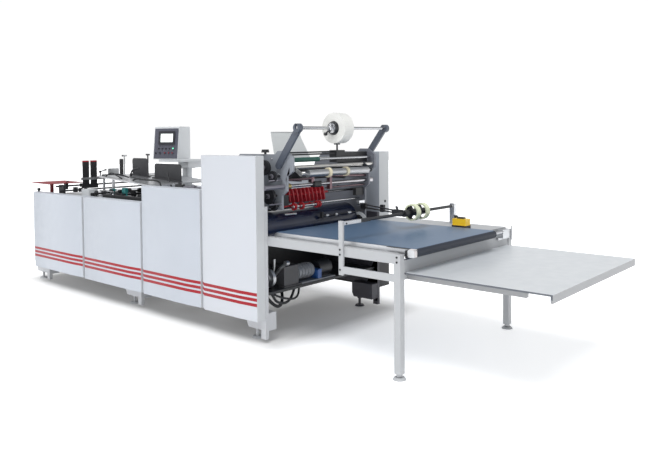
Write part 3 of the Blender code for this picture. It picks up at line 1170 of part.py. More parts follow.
def build_belt(materials):
    sides = (BELT_NEAR, BELT_FAR)
    pieces = [combine("conveyor_belt", [prism_shape(belt_loop(0.0), "Y", *sides)], materials["belt"],
                      [prism_shape(belt_loop(BELT_THICKNESS), "Y", sides[0] - OVERCUT, sides[1] + OVERCUT)])]
    rail_gap = (RAIL_FRONT + RAIL_WIDTH + SEAT_GAP, DECK_NEAR - SEAT_GAP)
    height = BELT_TOP - BELT_DEPTH / 2
    end = BELT_END - BELT_DEPTH / 2
    shapes = [prism_shape(belt_loop(BELT_THICKNESS + SEAT_GAP), "Y", sides[0] - BED_MARGIN, sides[1] + BED_MARGIN)]
    lug_z = (height + LUG_HEIGHTS[0], height + LUG_HEIGHTS[1])
    for x in (LUG_INSET, (BELT_END + BELT_START) / 2, POST_START - LUG_INSET):
        shapes.append(box_shape(around(x, LUG_LENGTH), rail_gap, lug_z))
    near_post_back = NEAR_POST + POST_WIDTH + SEAT_GAP
    shapes.append(rod_shape("Y", (end, height), near_post_back, END_SHAFT_FAR, END_SHAFT_RADIUS, SMALL_SIDES))
    bearing = rounded(rectangle(around(end, BEARING_BLOCK_WIDTH), around(height, BEARING_BLOCK_HEIGHT)), OVERCUT)
    shapes.append(prism_shape(bearing, "Y", near_post_back + BITE, sides[0] - BED_MARGIN - BITE))
    pieces.append(combine("conveyor_bed", shapes, materials["aluminium"]))
    return pieces


def build_shield(materials):
    """Arched plate at the far edge of the belt's start, with a tab onto the inner rail."""
    middle = sum(SHIELD_SPAN) / 2
    half = (SHIELD_SPAN[1] - SHIELD_SPAN[0]) / 2
    arch = [(middle + half * math.cos(i * math.pi / SHIELD_STEPS),
             SHIELD_BOTTOM + SHIELD_RISE * math.sin(i * math.pi / SHIELD_STEPS)) for i in range(SHIELD_STEPS + 1)]
    outer = DECK_NEAR - SEAT_GAP
    tab = box_shape(SHIELD_TAB, (outer - SHIELD_THICKNESS, outer),
                    (SHIELD_BOTTOM - SHIELD_TAB_DROP, SHIELD_BOTTOM + SHIELD_RISE / 4))
    return combine("end_shield", [prism_shape(arch, "Y", outer - SHIELD_THICKNESS, outer), tab],
                   materials["white"])


def build_delivery_frame(materials):
    posts = ((NEAR_POST, NEAR_POST + POST_WIDTH), (FAR_POST, FAR_POST + POST_WIDTH))
    post_x = (POST_START, POST_START + POST_WIDTH)
    beam_x = (POST_START + BEAM_STEP, POST_START + BEAM_STEP + BEAM_WIDTH)
    shapes = [box_shape(beam_x, (posts[0][1] - OVERCUT, posts[1][0] + OVERCUT), (BEAM_BOTTOM, BEAM_TOP))]
    for span in posts:
        shapes.append(box_shape(post_x, span, (POST_BOTTOM, RAIL_TOP)))
        shapes += foot_shapes(sum(post_x) / 2, sum(span) / 2, POST_BOTTOM, POST_BOTTOM + NUT_HEIGHT)
    pieces = [combine("delivery_frame", shapes, materials["aluminium"])]
    guard_y = (RAIL_FRONT - SEAT_GAP - UPRIGHT_THICKNESS, RAIL_FRONT - SEAT_GAP)
    pieces.append(combine("guard_frame", [
        box_shape((UPRIGHT_STATION, UPRIGHT_STATION + UPRIGHT_WIDTH), guard_y, (UPRIGHT_BOTTOM, UPRIGHT_TOP)),
        box_shape((UPRIGHT_STATION + OVERCUT, POST_START - SEAT_GAP), guard_y,
                  (LOWER_RAIL_BOTTOM, LOWER_RAIL_TOP))], materials["aluminium"]))
    return pieces


def build_reels(materials):
    """Square-ended cross bar, the two tape reels that turn on it and the arm that stops them sliding."""
    bar_x = UPRIGHT_STATION + UPRIGHT_WIDTH / 2
    bar = (bar_x, BAR_HEIGHT)
    pieces = [combine("cross_bar", [
        box_shape(around(bar_x, BAR_WIDTH), (RAIL_FRONT, BAR_SQUARE_END), around(BAR_HEIGHT, BAR_WIDTH)),
        rod_shape("Y", bar, BAR_SQUARE_END - OVERCUT, sum(BAR_FOOT) / 2, BAR_RADIUS),
        box_shape(around(bar_x, BAR_FOOT_WIDTH), BAR_FOOT, (DECK_TOP + SEAT_GAP, BAR_HEIGHT + BAR_FOOT_RISE))],
        materials["aluminium"])]

    bore = BAR_RADIUS + REEL_BORE_GAP
    rim = REEL_RADIUS - REEL_RIM
    hub = (REEL_PLACES[0] - REEL_HUB_PROUD, REEL_PLACES[-1] + REEL_WIDTH + REEL_HUB_PROUD)
    shapes = [tube_shape(hub, bar, REEL_HUB_RADIUS, bore)]
    for place in REEL_PLACES:
        shapes.append(tube_shape((place, place + REEL_WIDTH), bar, REEL_RADIUS, rim))
        for i in range(REEL_SPOKES):
            spoke = box_shape((REEL_HUB_RADIUS - BITE, rim + BITE),
                              (place + SPOKE_INSET, place + REEL_WIDTH - SPOKE_INSET), around(0.0, SPOKE_WIDTH))
            spoke.transform(Matrix.Translation((bar_x, 0, BAR_HEIGHT))
                            @ Matrix.Rotation(i * math.tau / REEL_SPOKES, 4, "Y"))
            shapes.append(spoke)
    reels = combine("tape_reels", shapes, materials["tape"])
    set_origin(reels, (bar_x, REEL_PLACES[0], BAR_HEIGHT))
    pieces.append(reels)

    collar = around(COLLAR_PLACE, COLLAR_WIDTH)
    shapes = [rod_shape("Y", bar, *collar, COLLAR_RADIUS),
              box_shape(ARM_BLOCK_SPAN, (FAR_PLATE - ARM_BLOCK_DEPTH, PLATE_SIDES[1]), ARM_BLOCK_HEIGHTS)]
    block_middle = sum(ARM_BLOCK_HEIGHTS) / 2
    for offset in (-TWIN_ROD_SPACING / 2, TWIN_ROD_SPACING / 2):
        shapes.append(strut_shape((bar_x - COLLAR_RADIUS * 0.6, COLLAR_PLACE, BAR_HEIGHT + offset * 0.6),
                                  (0.0, FAR_PLATE - ARM_BLOCK_DEPTH / 2, block_middle + offset), TWIN_ROD_RADIUS))
    hole = rod_shape("Y", bar, collar[0] - OVERCUT, collar[1] + OVERCUT, BAR_RADIUS + RUN_CLEARANCE)
    pieces.append(combine("reel_arm", shapes, materials["dark"], [hole]))
    return pieces


def build_stop_box(materials):
    floor = DECK_TOP + SEAT_GAP
    middle = BOX_STATION + BOX_LENGTH / 2
    return combine("stop_box", [
        box_shape(around(middle, BOX_LENGTH - 2 * BOX_STEP), around(BOX_CENTRE, BOX_WIDTH - 2 * BOX_STEP),
                  (floor + BOX_BASE_HEIGHT / 2, floor + BOX_HEIGHT)),
        box_shape(around(middle, BOX_LENGTH), around(BOX_CENTRE, BOX_WIDTH), (floor, floor + BOX_BASE_HEIGHT)),
        box_shape(around(middle, ROCKER_LENGTH), around(BOX_CENTRE, ROCKER_WIDTH),
                  (floor + BOX_HEIGHT - ROCKER_RISE, floor + BOX_HEIGHT + ROCKER_RISE))], materials["yellow"])


def build_table(materials):
    start = POST_START + BEAM_STEP + BEAM_WIDTH + SEAT_GAP
    sides = (TABLE_NEAR, TABLE_FAR)
    under = TABLE_TOP - TABLE_THICKNESS
    shapes = [box_shape((start, TABLE_END), sides, (under, TABLE_TOP)),
              box_shape((TABLE_END - TABLE_FLANGE_THICKNESS, TABLE_END), sides,
                        (TABLE_TOP - TABLE_FLANGE, TABLE_TOP))]
    for y in (sides[0] + BEARER_INSET, sides[1] - BEARER_INSET - BEARER_WIDTH):
        shapes.append(box_shape((start, TABLE_END - BEARER_SHORT), (y, y + BEARER_WIDTH),
                                (under - BEARER_HEIGHT, under + TABLE_THICKNESS / 2)))
    return combine("collecting_table", shapes, materials["cover"])


def build_machine():
    clear_scene()
    materials = make_materials()
    pieces = build_covers(materials) + build_frames(materials) + build_beds(materials)
    pieces += build_feeder(materials) + build_console(materials)
    pieces += build_tower_plates(materials) + build_unwind(materials) + build_web_path(materials)
    pieces += [build_clamp_shaft(materials), build_fins(materials), build_press_wheels(materials)]
    pieces += [build_cylinder(materials), build_chute(materials)] + build_drive(materials)
    pieces += build_rails(materials) + build_belt(materials) + [build_shield(materials)]
    pieces += build_delivery_frame(materials) + build_reels(materials)
    pieces += [build_stop_box(materials), build_table(materials)]

    tray_reach = (TRAY_LENGTH * math.cos(TRAY_TURN) + TRAY_WIDTH * abs(math.sin(TRAY_TURN))) / 2
    datum = bpy.data.objects.new("machine_datum", None)
    bpy.context.scene.collection.objects.link(datum)
    datum.location = (-(TRAY_CENTRE[0] - tray_reach + TABLE_END) / 2, -MACHINE_WIDTH / 2, 0.0)
    for piece in pieces:
        piece.parent = datum


build_machine()
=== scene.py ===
# %% [markdown]
# The window patching machine, dressed.
# The imported model gives every solid at its real size and place. Everything below adds the finish:
# paint, polished steel, rubber, wound film and the small fittings that are too fine for the solids.
# Each cell does one job, and all but the studio light print what they made, so the file can be read from top
# to bottom.
# Lengths are in metres. Places are measured from the machine's datum, on the floor at the delivery
# end of the near tower cover: X runs towards the delivery end, Y to the far side, Z up.

import math

import bmesh
import bpy
import numpy as np
from mathutils import Matrix, Vector


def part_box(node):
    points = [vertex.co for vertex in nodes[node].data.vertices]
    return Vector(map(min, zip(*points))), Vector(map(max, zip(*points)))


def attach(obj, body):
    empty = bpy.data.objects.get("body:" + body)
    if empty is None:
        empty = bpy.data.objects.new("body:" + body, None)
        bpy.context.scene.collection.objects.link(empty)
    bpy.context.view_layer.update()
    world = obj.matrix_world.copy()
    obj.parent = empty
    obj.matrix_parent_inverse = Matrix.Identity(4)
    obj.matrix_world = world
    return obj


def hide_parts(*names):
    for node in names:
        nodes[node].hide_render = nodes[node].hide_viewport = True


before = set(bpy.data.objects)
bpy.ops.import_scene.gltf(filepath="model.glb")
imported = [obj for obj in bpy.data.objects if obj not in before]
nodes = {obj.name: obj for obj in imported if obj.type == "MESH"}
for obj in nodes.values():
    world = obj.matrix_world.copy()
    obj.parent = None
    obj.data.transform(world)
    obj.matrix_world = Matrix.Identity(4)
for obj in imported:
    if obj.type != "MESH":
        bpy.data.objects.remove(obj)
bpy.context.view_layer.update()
tower_cover_low, tower_cover_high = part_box("near_tower_cover")
DATUM = np.array([tower_cover_high.x, tower_cover_low.y, 0.0])
print("nodes:", len(nodes), "datum:", DATUM.round(4))

# %% [markdown]
# The camera stands where the photographer stood, a little above the covers at the delivery end.
# It could be aimed by eye. Solving it from the straight edges of the covers, legs and table is
# better, because then every later difference is one of shape and not of viewpoint. The numbers
# stay as they were solved: angles in radians, focal length and centre in pixels.

# %% Camera
IMAGE_WIDTH, IMAGE_HEIGHT = 650, 450
CAMERA_PLACE = (4.0779, -3.8545, 1.4224)
CAMERA_YAW, CAMERA_PITCH, CAMERA_ROLL = 0.72567, 0.03763, -0.00878
FOCAL_PIXELS = 671.47
CENTRE_PIXEL = (322.42, 162.73)
SENSOR_WIDTH = 36.0


def camera_axes(yaw, pitch, roll):
    """Right, up and backward directions of a camera turned from +Y by the yaw, down by the pitch."""
    level = np.array([math.cos(yaw), math.sin(yaw), 0.0])
    forward = np.array([-math.sin(yaw) * math.cos(pitch), math.cos(yaw) * math.cos(pitch),
                        -math.sin(pitch)])
    upright = np.cross(level, forward)
    right = math.cos(roll) * level + math.sin(roll) * upright
    up = math.cos(roll) * upright - math.sin(roll) * level
    return right, up, -forward


camera_data = bpy.data.cameras.new("photo_camera")
camera_data.sensor_width = SENSOR_WIDTH
camera_data.lens = FOCAL_PIXELS / IMAGE_WIDTH * SENSOR_WIDTH
camera_data.shift_x = (IMAGE_WIDTH / 2 - CENTRE_PIXEL[0]) / IMAGE_WIDTH
camera_data.shift_y = (CENTRE_PIXEL[1] - IMAGE_HEIGHT / 2) / IMAGE_WIDTH
camera = bpy.data.objects.new("photo_camera", camera_data)
bpy.context.scene.collection.objects.link(camera)
camera_matrix = np.eye(4)
camera_matrix[:3, :3] = np.array(camera_axes(CAMERA_YAW, CAMERA_PITCH, CAMERA_ROLL)).T
camera_matrix[:3, 3] = CAMERA_PLACE
camera.matrix_world = Matrix(camera_matrix.tolist())
bpy.context.scene.camera = camera
print("lens:", round(camera_data.lens, 2), "mm")

# %% [markdown]
# Every finish, and the sky too, is a small tree of shader nodes. A pattern on the machine is read
# from Object coordinates: each solid has its origin at the machine's own, so the pattern runs on
# from one sheet to the next. These helpers add one step each and hand back its output, so that a
# tree can be written like a formula.

# %% Shader helpers
finish_names = []


def start_finish(name, colour, roughness, metallic=0.0):
    """New Principled material, and its tree, shader and Object coordinates."""
    material = bpy.data.materials.new(name)
    material.use_nodes = True
    tree = material.node_tree
    shader = tree.nodes["Principled BSDF"]
    shader.inputs["Base Color"].default_value = (*colour, 1.0)
    shader.inputs["Roughness"].default_value = roughness
    shader.inputs["Metallic"].default_value = metallic
    place = tree.nodes.new("ShaderNodeTexCoord").outputs["Object"]
    finish_names.append(name)
    return material, tree, shader, place


def axes_of(tree, vector):
    """The X, Y and Z outputs of a vector."""
    axes = tree.nodes.new("ShaderNodeSeparateXYZ")
    tree.links.new(vector, axes.inputs[0])
    return axes.outputs


def cloud(tree, place, scale, detail=2.0, stretch=(1.0, 1.0, 1.0)):
    """Noise of a number of patches to the metre, drawn out along an axis where stretch is under 1."""
    mapping = tree.nodes.new("ShaderNodeMapping")
    mapping.inputs["Scale"].default_value = stretch
    noise = tree.nodes.new("ShaderNodeTexNoise")
    noise.inputs["Scale"].default_value = scale
    noise.inputs["Detail"].default_value = detail
    tree.links.new(place, mapping.inputs["Vector"])
    tree.links.new(mapping.outputs["Vector"], noise.inputs["Vector"])
    return noise.outputs["Fac"]


def ranged(tree, value, low, high, start=0.3, end=0.7):
    """Value from start to end, spread over low to high and held there."""
    spread = tree.nodes.new("ShaderNodeMapRange")
    for socket, number in (("From Min", start), ("From Max", end), ("To Min", low), ("To Max", high)):
        spread.inputs[socket].default_value = number
    tree.links.new(value, spread.inputs["Value"])
    return spread.outputs["Result"]


def maths(tree, operation, *terms):
    """One Math node on outputs or plain numbers."""
    node = tree.nodes.new("ShaderNodeMath")
    node.operation = operation
    for socket, term in zip(node.inputs, terms):
        if isinstance(term, (int, float)):
            socket.default_value = term
        else:
            tree.links.new(term, socket)
    return node.outputs[0]


def root_of_squares(tree, sides):
    """Length of a step with two sides: the root of the sum of their squares."""
    squares = [maths(tree, "MULTIPLY", side, side) for side in sides]
    return maths(tree, "SQRT", maths(tree, "ADD", *squares))


def blended(tree, share, first, second):
    """Colour or number that goes from first to second with the share; either may be an output."""
    colours = isinstance(second, tuple)
    mix = tree.nodes.new("ShaderNodeMix")
    mix.data_type = "RGBA" if colours else "FLOAT"
    tree.links.new(share, mix.inputs["Factor"])
    sockets = (mix.inputs[6], mix.inputs[7]) if colours else (mix.inputs[2], mix.inputs[3])
    for socket, term in zip(sockets, (first, second)):
        if isinstance(term, tuple):
            socket.default_value = (*term, 1.0)
        elif isinstance(term, (int, float)):
            socket.default_value = term
        else:
            tree.links.new(term, socket)
    return mix.outputs[2 if colours else 0]


def relief(tree, shader, height, depth, strength):
    """Bump of the height, at most depth metres deep."""
    bump = tree.nodes.new("ShaderNodeBump")
    bump.inputs["Distance"].default_value = depth
    bump.inputs["Strength"].default_value = strength
    tree.links.new(height, bump.inputs["Height"])
    tree.links.new(bump.outputs["Normal"], shader.inputs["Normal"])


def shade(colour, factor):
    """The colour made lighter or darker by a factor."""
    return tuple(min(1.0, c * factor) for c in colour)


print("shader helpers ready")

# %% [markdown]
# The machine was shot in a white studio. An even white sky alone would fill every hollow with light
# and spread a grey shadow over metres of floor. So only the low rim of the sky is white, and most
# of the light comes from one high, soft sun on the operator's side, with a lamp to lift the covers:
# the shadow stays under the machine, and the hollows between plates go dark.

# %% Studio light
SKY_RIM_COLOUR, SKY_TOP_COLOUR = (1.02, 1.02, 1.02), (0.42, 0.43, 0.44)
SKY_RIM_HEIGHT, SKY_TOP_HEIGHT = 0.26, 0.55
SUN_WAY, SUN_POWER, SUN_ANGLE = (-0.2, 0.42, -1.0), 2.2, math.radians(34)
LAMP_PLACE, LAMP_TARGET = Vector((1.5, -7.0, 2.4)), Vector((0.0, 0.0, 0.8))
LAMP_POWER, LAMP_SIZE = 25, 4.0

bpy.context.scene.view_settings.view_transform = "Standard"
world = bpy.data.worlds.new("studio")
bpy.context.scene.world = world
world.use_nodes = True
sky_tree = world.node_tree
sky = sky_tree.nodes["Background"]
sky_way = axes_of(sky_tree, sky_tree.nodes.new("ShaderNodeTexCoord").outputs["Generated"])
sky_rise = ranged(sky_tree, sky_way["Z"], 0.0, 1.0, SKY_RIM_HEIGHT, SKY_TOP_HEIGHT)
sky_tree.links.new(blended(sky_tree, sky_rise, SKY_RIM_COLOUR, SKY_TOP_COLOUR), sky.inputs["Color"])
sky.inputs["Strength"].default_value = 1.0


def lamp(name, kind, way, power, place=(0.0, 0.0, 0.0)):
    """Lamp of a kind at a place, turned to shine along the way; hands back its data."""
    data = bpy.data.lights.new(name, kind)
    data.energy = power
    holder = bpy.data.objects.new(name, data)
    holder.location = place
    holder.rotation_mode = "QUATERNION"
    holder.rotation_quaternion = Vector(way).to_track_quat("-Z", "Y")
    bpy.context.scene.collection.objects.link(holder)
    return data


lamp("high_sun", "SUN", SUN_WAY, SUN_POWER).angle = SUN_ANGLE
lamp("operator_lamp", "AREA", LAMP_TARGET - LAMP_PLACE, LAMP_POWER, LAMP_PLACE).size = LAMP_SIZE

# %% [markdown]
# One solid often has two finishes: a black knob on a painted plate, a red tyre on a steel wheel.
# Cutting the solid up would change the model, so the finish itself is laid over in zones. A zone is
# a mask of spans along X, Y and Z from the datum, or of distances from a line along Y, which is
# how a fitter would measure it. It stays put when the piece turns about that same line.

# %% Zones of a finish
zoned_names = set()


def from_line(tree, place, hub):
    """Distance from the line along Y through the hub, which is given as its x and z."""
    axes = axes_of(tree, place)
    return root_of_squares(tree, [maths(tree, "SUBTRACT", axes[i], float(hub[n] + DATUM[i]))
                                  for n, i in enumerate((0, 2))])


def zone(tree, place, x=None, y=None, z=None, hub=None, radius=None):
    """Mask that is 1 inside the spans; radius is a span of distance from the hub's line along Y."""
    axes = axes_of(tree, place)
    spans = [(axes[i], span, DATUM[i]) for i, span in enumerate((x, y, z)) if span]
    if hub:
        spans.append((from_line(tree, place, hub), radius, 0.0))
    mask = None
    for value, span, shift in spans:
        inside = maths(tree, "MULTIPLY", maths(tree, "GREATER_THAN", value, float(span[0] + shift)),
                       maths(tree, "LESS_THAN", value, float(span[1] + shift)))
        mask = maths(tree, "MULTIPLY", mask, inside) if mask else inside
    return mask


def lay_over(finish, mask, colour, roughness, metallic=0.0):
    """Puts another colour, roughness and metal share over a finish where the mask is 1."""
    material, tree, shader = finish[:3]
    for name, new in (("Base Color", colour), ("Roughness", roughness), ("Metallic", metallic)):
        socket = shader.inputs[name]
        if socket.is_linked:
            old = socket.links[0].from_socket
        else:
            old = tuple(socket.default_value)[:3] if name == "Base Color" else float(socket.default_value)
        if socket.is_linked or old != new:
            tree.links.new(blended(tree, mask, old, new), socket)
    zoned_names.add(material.name)


def over_zone(finish, colour, roughness, metallic=0.0, **spans):
    """Lays another finish over one zone."""
    lay_over(finish, zone(finish[1], finish[3], **spans), colour, roughness, metallic)


print("zones ready")

# %% [markdown]
# Most of the machine is powder coat or spray paint on sheet steel. Powder coat isn't one flat colour:
# it has a faint orange-peel skin, and large sheets vary by a few per cent. A wide noise moves the
# colour, a narrower one the gloss, and a fine one makes the skin. Long thin rails, the chute and
# the table's panel have a smoother skin, because they are seen at a low angle, where relief shows.

# %% Painted sheet
SHEET_PATCHES, GLOSS_PATCHES, GLOSS_STRAY = 2.2, 14.0, 0.06
PEEL_PATCHES, PEEL_STRENGTH = 900.0, 0.25
FINE_PEEL, FAINT_PEEL = 0.0001, 0.00002
INK = (0.012, 0.013, 0.016)


def painted(name, colour, roughness, variation=0.05, peel_depth=0.0004):
    """Paint whose colour strays by the variation over half a metre, with an orange-peel skin."""
    finish = start_finish(name, colour, roughness)
    tree, shader, place = finish[1:]
    share = ranged(tree, cloud(tree, place, SHEET_PATCHES), 0.0, 1.0)
    tree.links.new(blended(tree, share, shade(colour, 1 - variation), shade(colour, 1 + variation)),
                   shader.inputs["Base Color"])
    gloss = cloud(tree, place, GLOSS_PATCHES)
    tree.links.new(ranged(tree, gloss, roughness - GLOSS_STRAY, roughness + GLOSS_STRAY),
                   shader.inputs["Roughness"])
    relief(tree, shader, cloud(tree, place, PEEL_PATCHES), peel_depth, PEEL_STRENGTH)
    return finish


frame_paint = painted("frame_paint", (0.46, 0.47, 0.49), 0.45)
# painted shade: a much darker copy of the frame paint for the far side frame, standing in for the shade that
# falls on it
far_frame_painted_shade = painted("far_frame_painted_shade", (0.055, 0.054, 0.066), 0.5)
tower_paint = painted("tower_paint", (0.27, 0.29, 0.325), 0.38, 0.12)
# painted shade: a darker copy of the tower paint for the far tower plate
far_tower_painted_shade = painted("far_tower_painted_shade", (0.16, 0.17, 0.2), 0.38, 0.12)
arm_paint = painted("arm_paint", (0.075, 0.088, 0.115), 0.36)
black_paint = painted("black_paint", INK, 0.45)
guide_black = painted("guide_black", (0.03, 0.031, 0.035), 0.55)
stop_black = painted("stop_black", (0.01, 0.01, 0.012), 0.5)
white_paint = painted("white_paint", (0.56, 0.58, 0.6), 0.4, 0.02)
rail_paint = painted("rail_paint", (0.4, 0.41, 0.425), 0.45, 0.02, FINE_PEEL)
panel_paint = painted("panel_paint", (0.56, 0.585, 0.61), 0.34, 0.01, FAINT_PEEL)
chute_paint = painted("chute_paint", (0.5, 0.52, 0.525), 0.42, 0.02, FINE_PEEL)
console_face = painted("console_face", (0.075, 0.078, 0.105), 0.42)
print("finishes so far:", len(finish_names))

# %% [markdown]
# Three red bands run along the side covers. On the real machine they are painted or taped on, so
# they have no thickness worth modelling. The finish counts the height above the floor in band
# steps: inside the stack of bands, the first part of each step is red and the rest is white.
# The bands keep to faces that look out sideways. The faces turned along X, the covers' cut ends,
# get a greyer tone: painted light and shade for the way they face the light.
# The near tower cover is a little lighter than the rest, and the lower part of the far one, which
# is seen under the belt, is painted dark: painted shade in the space under the belt.

# %% Cover paint with red bands
COVER_COLOUR, TOWER_COVER_COLOUR = (0.435, 0.465, 0.515), (0.51, 0.53, 0.57)
END_FACE_PAINTED_LIGHT, LOWER_END_PAINTED_SHADE = (0.5, 0.515, 0.53), (0.035, 0.033, 0.036)
COVER_ROUGHNESS, COVER_SPECULAR = 0.36, 0.3
BAND_COLOUR, BAND_ROUGHNESS = (0.3, 0.004, 0.012), 0.45
BANDS_BOTTOM, BANDS_TOP = 0.2695, 0.3645
BAND_COUNT, BAND_SHARE = 3, 0.62
BAND_STEP = (BANDS_TOP - BANDS_BOTTOM) / (BAND_COUNT - 1 + BAND_SHARE)
SIDE_FACING, FAR_FACING = 0.7, 0.5
TOWER_COVER_SPANS = {"x": (-0.6102, 0.01), "y": (-0.01, 0.1)}
PAINTED_SHADE_SPANS = {"x": (-0.62, 0.01), "y": (1.395, 1.56), "z": (0.1, 0.66)}

cover_paint = painted("cover_paint", COVER_COLOUR, COVER_ROUGHNESS, 0.02)
cover_tree, cover_shader, cover_place = cover_paint[1:]
cover_shader.inputs["Specular IOR Level"].default_value = COVER_SPECULAR
above_bands = maths(cover_tree, "SUBTRACT", axes_of(cover_tree, cover_place)["Z"], BANDS_BOTTOM)
step_share = maths(cover_tree, "FRACT", maths(cover_tree, "DIVIDE", above_bands, BAND_STEP))
in_band = maths(cover_tree, "LESS_THAN", step_share, BAND_SHARE)
facing = axes_of(cover_tree, cover_tree.nodes.new("ShaderNodeNewGeometry").outputs["True Normal"])
sideways, endways = [maths(cover_tree, "GREATER_THAN", maths(cover_tree, "ABSOLUTE", facing[axis]),
                           SIDE_FACING) for axis in ("Y", "X")]
stack = zone(cover_tree, cover_place, z=(BANDS_BOTTOM, BANDS_TOP))
banded = maths(cover_tree, "MULTIPLY", maths(cover_tree, "MULTIPLY", in_band, sideways), stack)
not_outward = maths(cover_tree, "LESS_THAN", facing["Y"], FAR_FACING)
painted_shade_under_belt = maths(cover_tree, "MULTIPLY", not_outward, zone(cover_tree, cover_place, **PAINTED_SHADE_SPANS))
over_zone(cover_paint, TOWER_COVER_COLOUR, COVER_ROUGHNESS, **TOWER_COVER_SPANS)
lay_over(cover_paint, banded, BAND_COLOUR, BAND_ROUGHNESS)
# painted light and shade: faces turned along X get a greyer tone for the way light falls on them
lay_over(cover_paint, endways, END_FACE_PAINTED_LIGHT, COVER_ROUGHNESS)
# painted shade: the far cover's lower part under the belt is painted dark
lay_over(cover_paint, painted_shade_under_belt, LOWER_END_PAINTED_SHADE, 0.5)
print("band step:", round(BAND_STEP * 1000, 1), "mm")

# %% [markdown]
# Rails, brackets and rollers are anodised aluminium or polished steel. Drawn and turned metal has
# fine lines along the tool's path, so a noise drawn out along the piece breaks up the gloss. Most
# bars and shafts lie across the machine, so their lines run along Y; the feed plate's run along X,
# and are fainter, because a wide plate seen from above would look like marble.

# %% Metals
GRAIN_LINES, GRAIN_STRENGTH, GRAIN_GLOSS = 260.0, 0.15, (0.7, 1.4)
TINT_PATCHES, TINT_SHADES = 6.0, (0.92, 1.05)
ALONG_X, ALONG_Y = (0.02, 1.0, 1.0), (1.0, 0.02, 1.0)
ALUMINIUM, STEEL = (0.62, 0.63, 0.65), (0.6, 0.61, 0.63)


def drawn_metal(name, colour, roughness, stretch=ALONG_Y, line_depth=0.00025):
    """Metal with fine lines along the axis whose stretch is small."""
    finish = start_finish(name, colour, roughness, 1.0)
    tree, shader, place = finish[1:]
    grain = cloud(tree, place, GRAIN_LINES, 3.0, stretch)
    tree.links.new(ranged(tree, grain, *[roughness * share for share in GRAIN_GLOSS]),
                   shader.inputs["Roughness"])
    tint = ranged(tree, cloud(tree, place, TINT_PATCHES), 0.0, 1.0)
    tree.links.new(blended(tree, tint, *[shade(colour, factor) for factor in TINT_SHADES]),
                   shader.inputs["Base Color"])
    relief(tree, shader, grain, line_depth, GRAIN_STRENGTH)
    return finish


feed_plate_metal = drawn_metal("feed_plate_metal", ALUMINIUM, 0.34, ALONG_X, 0.00002)
anodised = drawn_metal("anodised", ALUMINIUM, 0.4)
bar_metal = drawn_metal("bar_metal", ALUMINIUM, 0.3)
post_metal = drawn_metal("post_metal", (0.45, 0.46, 0.47), 0.34)
roller_aluminium = drawn_metal("roller_aluminium", (0.46, 0.47, 0.49), 0.3)
polished_steel = drawn_metal("polished_steel", STEEL, 0.18)
wheel_steel = drawn_metal("wheel_steel", STEEL, 0.2)
carrier_steel = drawn_metal("carrier_steel", (0.58, 0.57, 0.55), 0.3)
unwind_steel = drawn_metal("unwind_steel", (0.5, 0.51, 0.53), 0.2)
clamp_steel = drawn_metal("clamp_steel", (0.52, 0.51, 0.53), 0.2)
print("finishes so far:", len(finish_names))

# %% [markdown]
# The patching cylinder is lacquered a navy that is nearly black, the fins and the feed tray are
# enamelled red, the reels and the box are moulded plastic. All of them are sprayed or moulded over
# a smooth face, so the recipe for paint serves with another gloss. The belt is woven: a fine noise,
# drawn out along the weft, moves its colour between two blues and gives it a slight relief.

# %% Other finishes
WEAVE_PATCHES, WEAVE_STRETCH = 700.0, (1.0, 0.4, 1.0)
WEAVE_DEPTH, WEAVE_STRENGTH = 0.0001, 0.2
BELT_DARK, BELT_LIGHT = (0.067, 0.12, 0.204), (0.083, 0.145, 0.24)

navy_lacquer = painted("navy_lacquer", (0.008, 0.014, 0.04), 0.2, 0.3)
red_enamel = painted("red_enamel", (0.36, 0.012, 0.022), 0.32, 0.1)
tray_red = painted("tray_red", (0.24, 0.03, 0.036), 0.7, 0.08)
green_rubber = painted("green_rubber", (0.006, 0.07, 0.052), 0.45, 0.1)
yellow_plastic = painted("yellow_plastic", (0.84, 0.54, 0.015), 0.38)
reel_plastic = painted("reel_plastic", (0.66, 0.7, 0.5), 0.45)
motor_paint = painted("motor_paint", (0.2, 0.21, 0.23), 0.42)
shield_white = painted("shield_white", (0.74, 0.76, 0.78), 0.4)

belt_cloth = start_finish("belt_cloth", (0.06, 0.1, 0.17), 0.38)
belt_tree, belt_shader, belt_place = belt_cloth[1:]
weave = cloud(belt_tree, belt_place, WEAVE_PATCHES, 2.0, WEAVE_STRETCH)
belt_tree.links.new(blended(belt_tree, ranged(belt_tree, weave, 0.0, 1.0), BELT_DARK, BELT_LIGHT),
                    belt_shader.inputs["Base Color"])
relief(belt_tree, belt_shader, weave, WEAVE_DEPTH, WEAVE_STRENGTH)
print("finishes so far:", len(finish_names))

# %% [markdown]
# The film roll is a few thousand turns of thin film. On its flat ends each turn shows as a faint
# ring, and the rings are never quite even. The distance from the roll's line drives a noise of one
# dimension, which gives rings that follow the roll when it turns.

# %% Wound film
ROLL_HUB = (0.165, 1.49)
FILM_TURNS, FILM_DETAIL = 420.0, 3.0
FILM_DARK, FILM_LIGHT = (0.64, 0.64, 0.61), (0.8, 0.8, 0.78)

film_wound = painted("film_wound", (0.74, 0.74, 0.71), 0.35, 0.02)
film_tree, film_shader, film_place = film_wound[1:]
turns = film_tree.nodes.new("ShaderNodeTexNoise")
turns.noise_dimensions = "1D"
turns.inputs["Scale"].default_value = FILM_TURNS
turns.inputs["Detail"].default_value = FILM_DETAIL
film_tree.links.new(from_line(film_tree, film_place, ROLL_HUB), turns.inputs["W"])
film_rings = ranged(film_tree, turns.outputs["Fac"], 0.0, 1.0)
film_tree.links.new(blended(film_tree, film_rings, FILM_DARK, FILM_LIGHT), film_shader.inputs["Base Color"])
print("film rings to the metre:", FILM_TURNS)

# %% [markdown]
# Now the zones. The black knob on the near tower plate, the chuck's dark cone, cream rings on the
# guide roller, red tyres on the press wheels, the reels' black hubs in pale rims, the box's black
# base, red tops on the pile stops, steel ends on the green roller: each is one line, with the
# measures of the solid it belongs to. Where two zones of a solid meet, the later one covers.

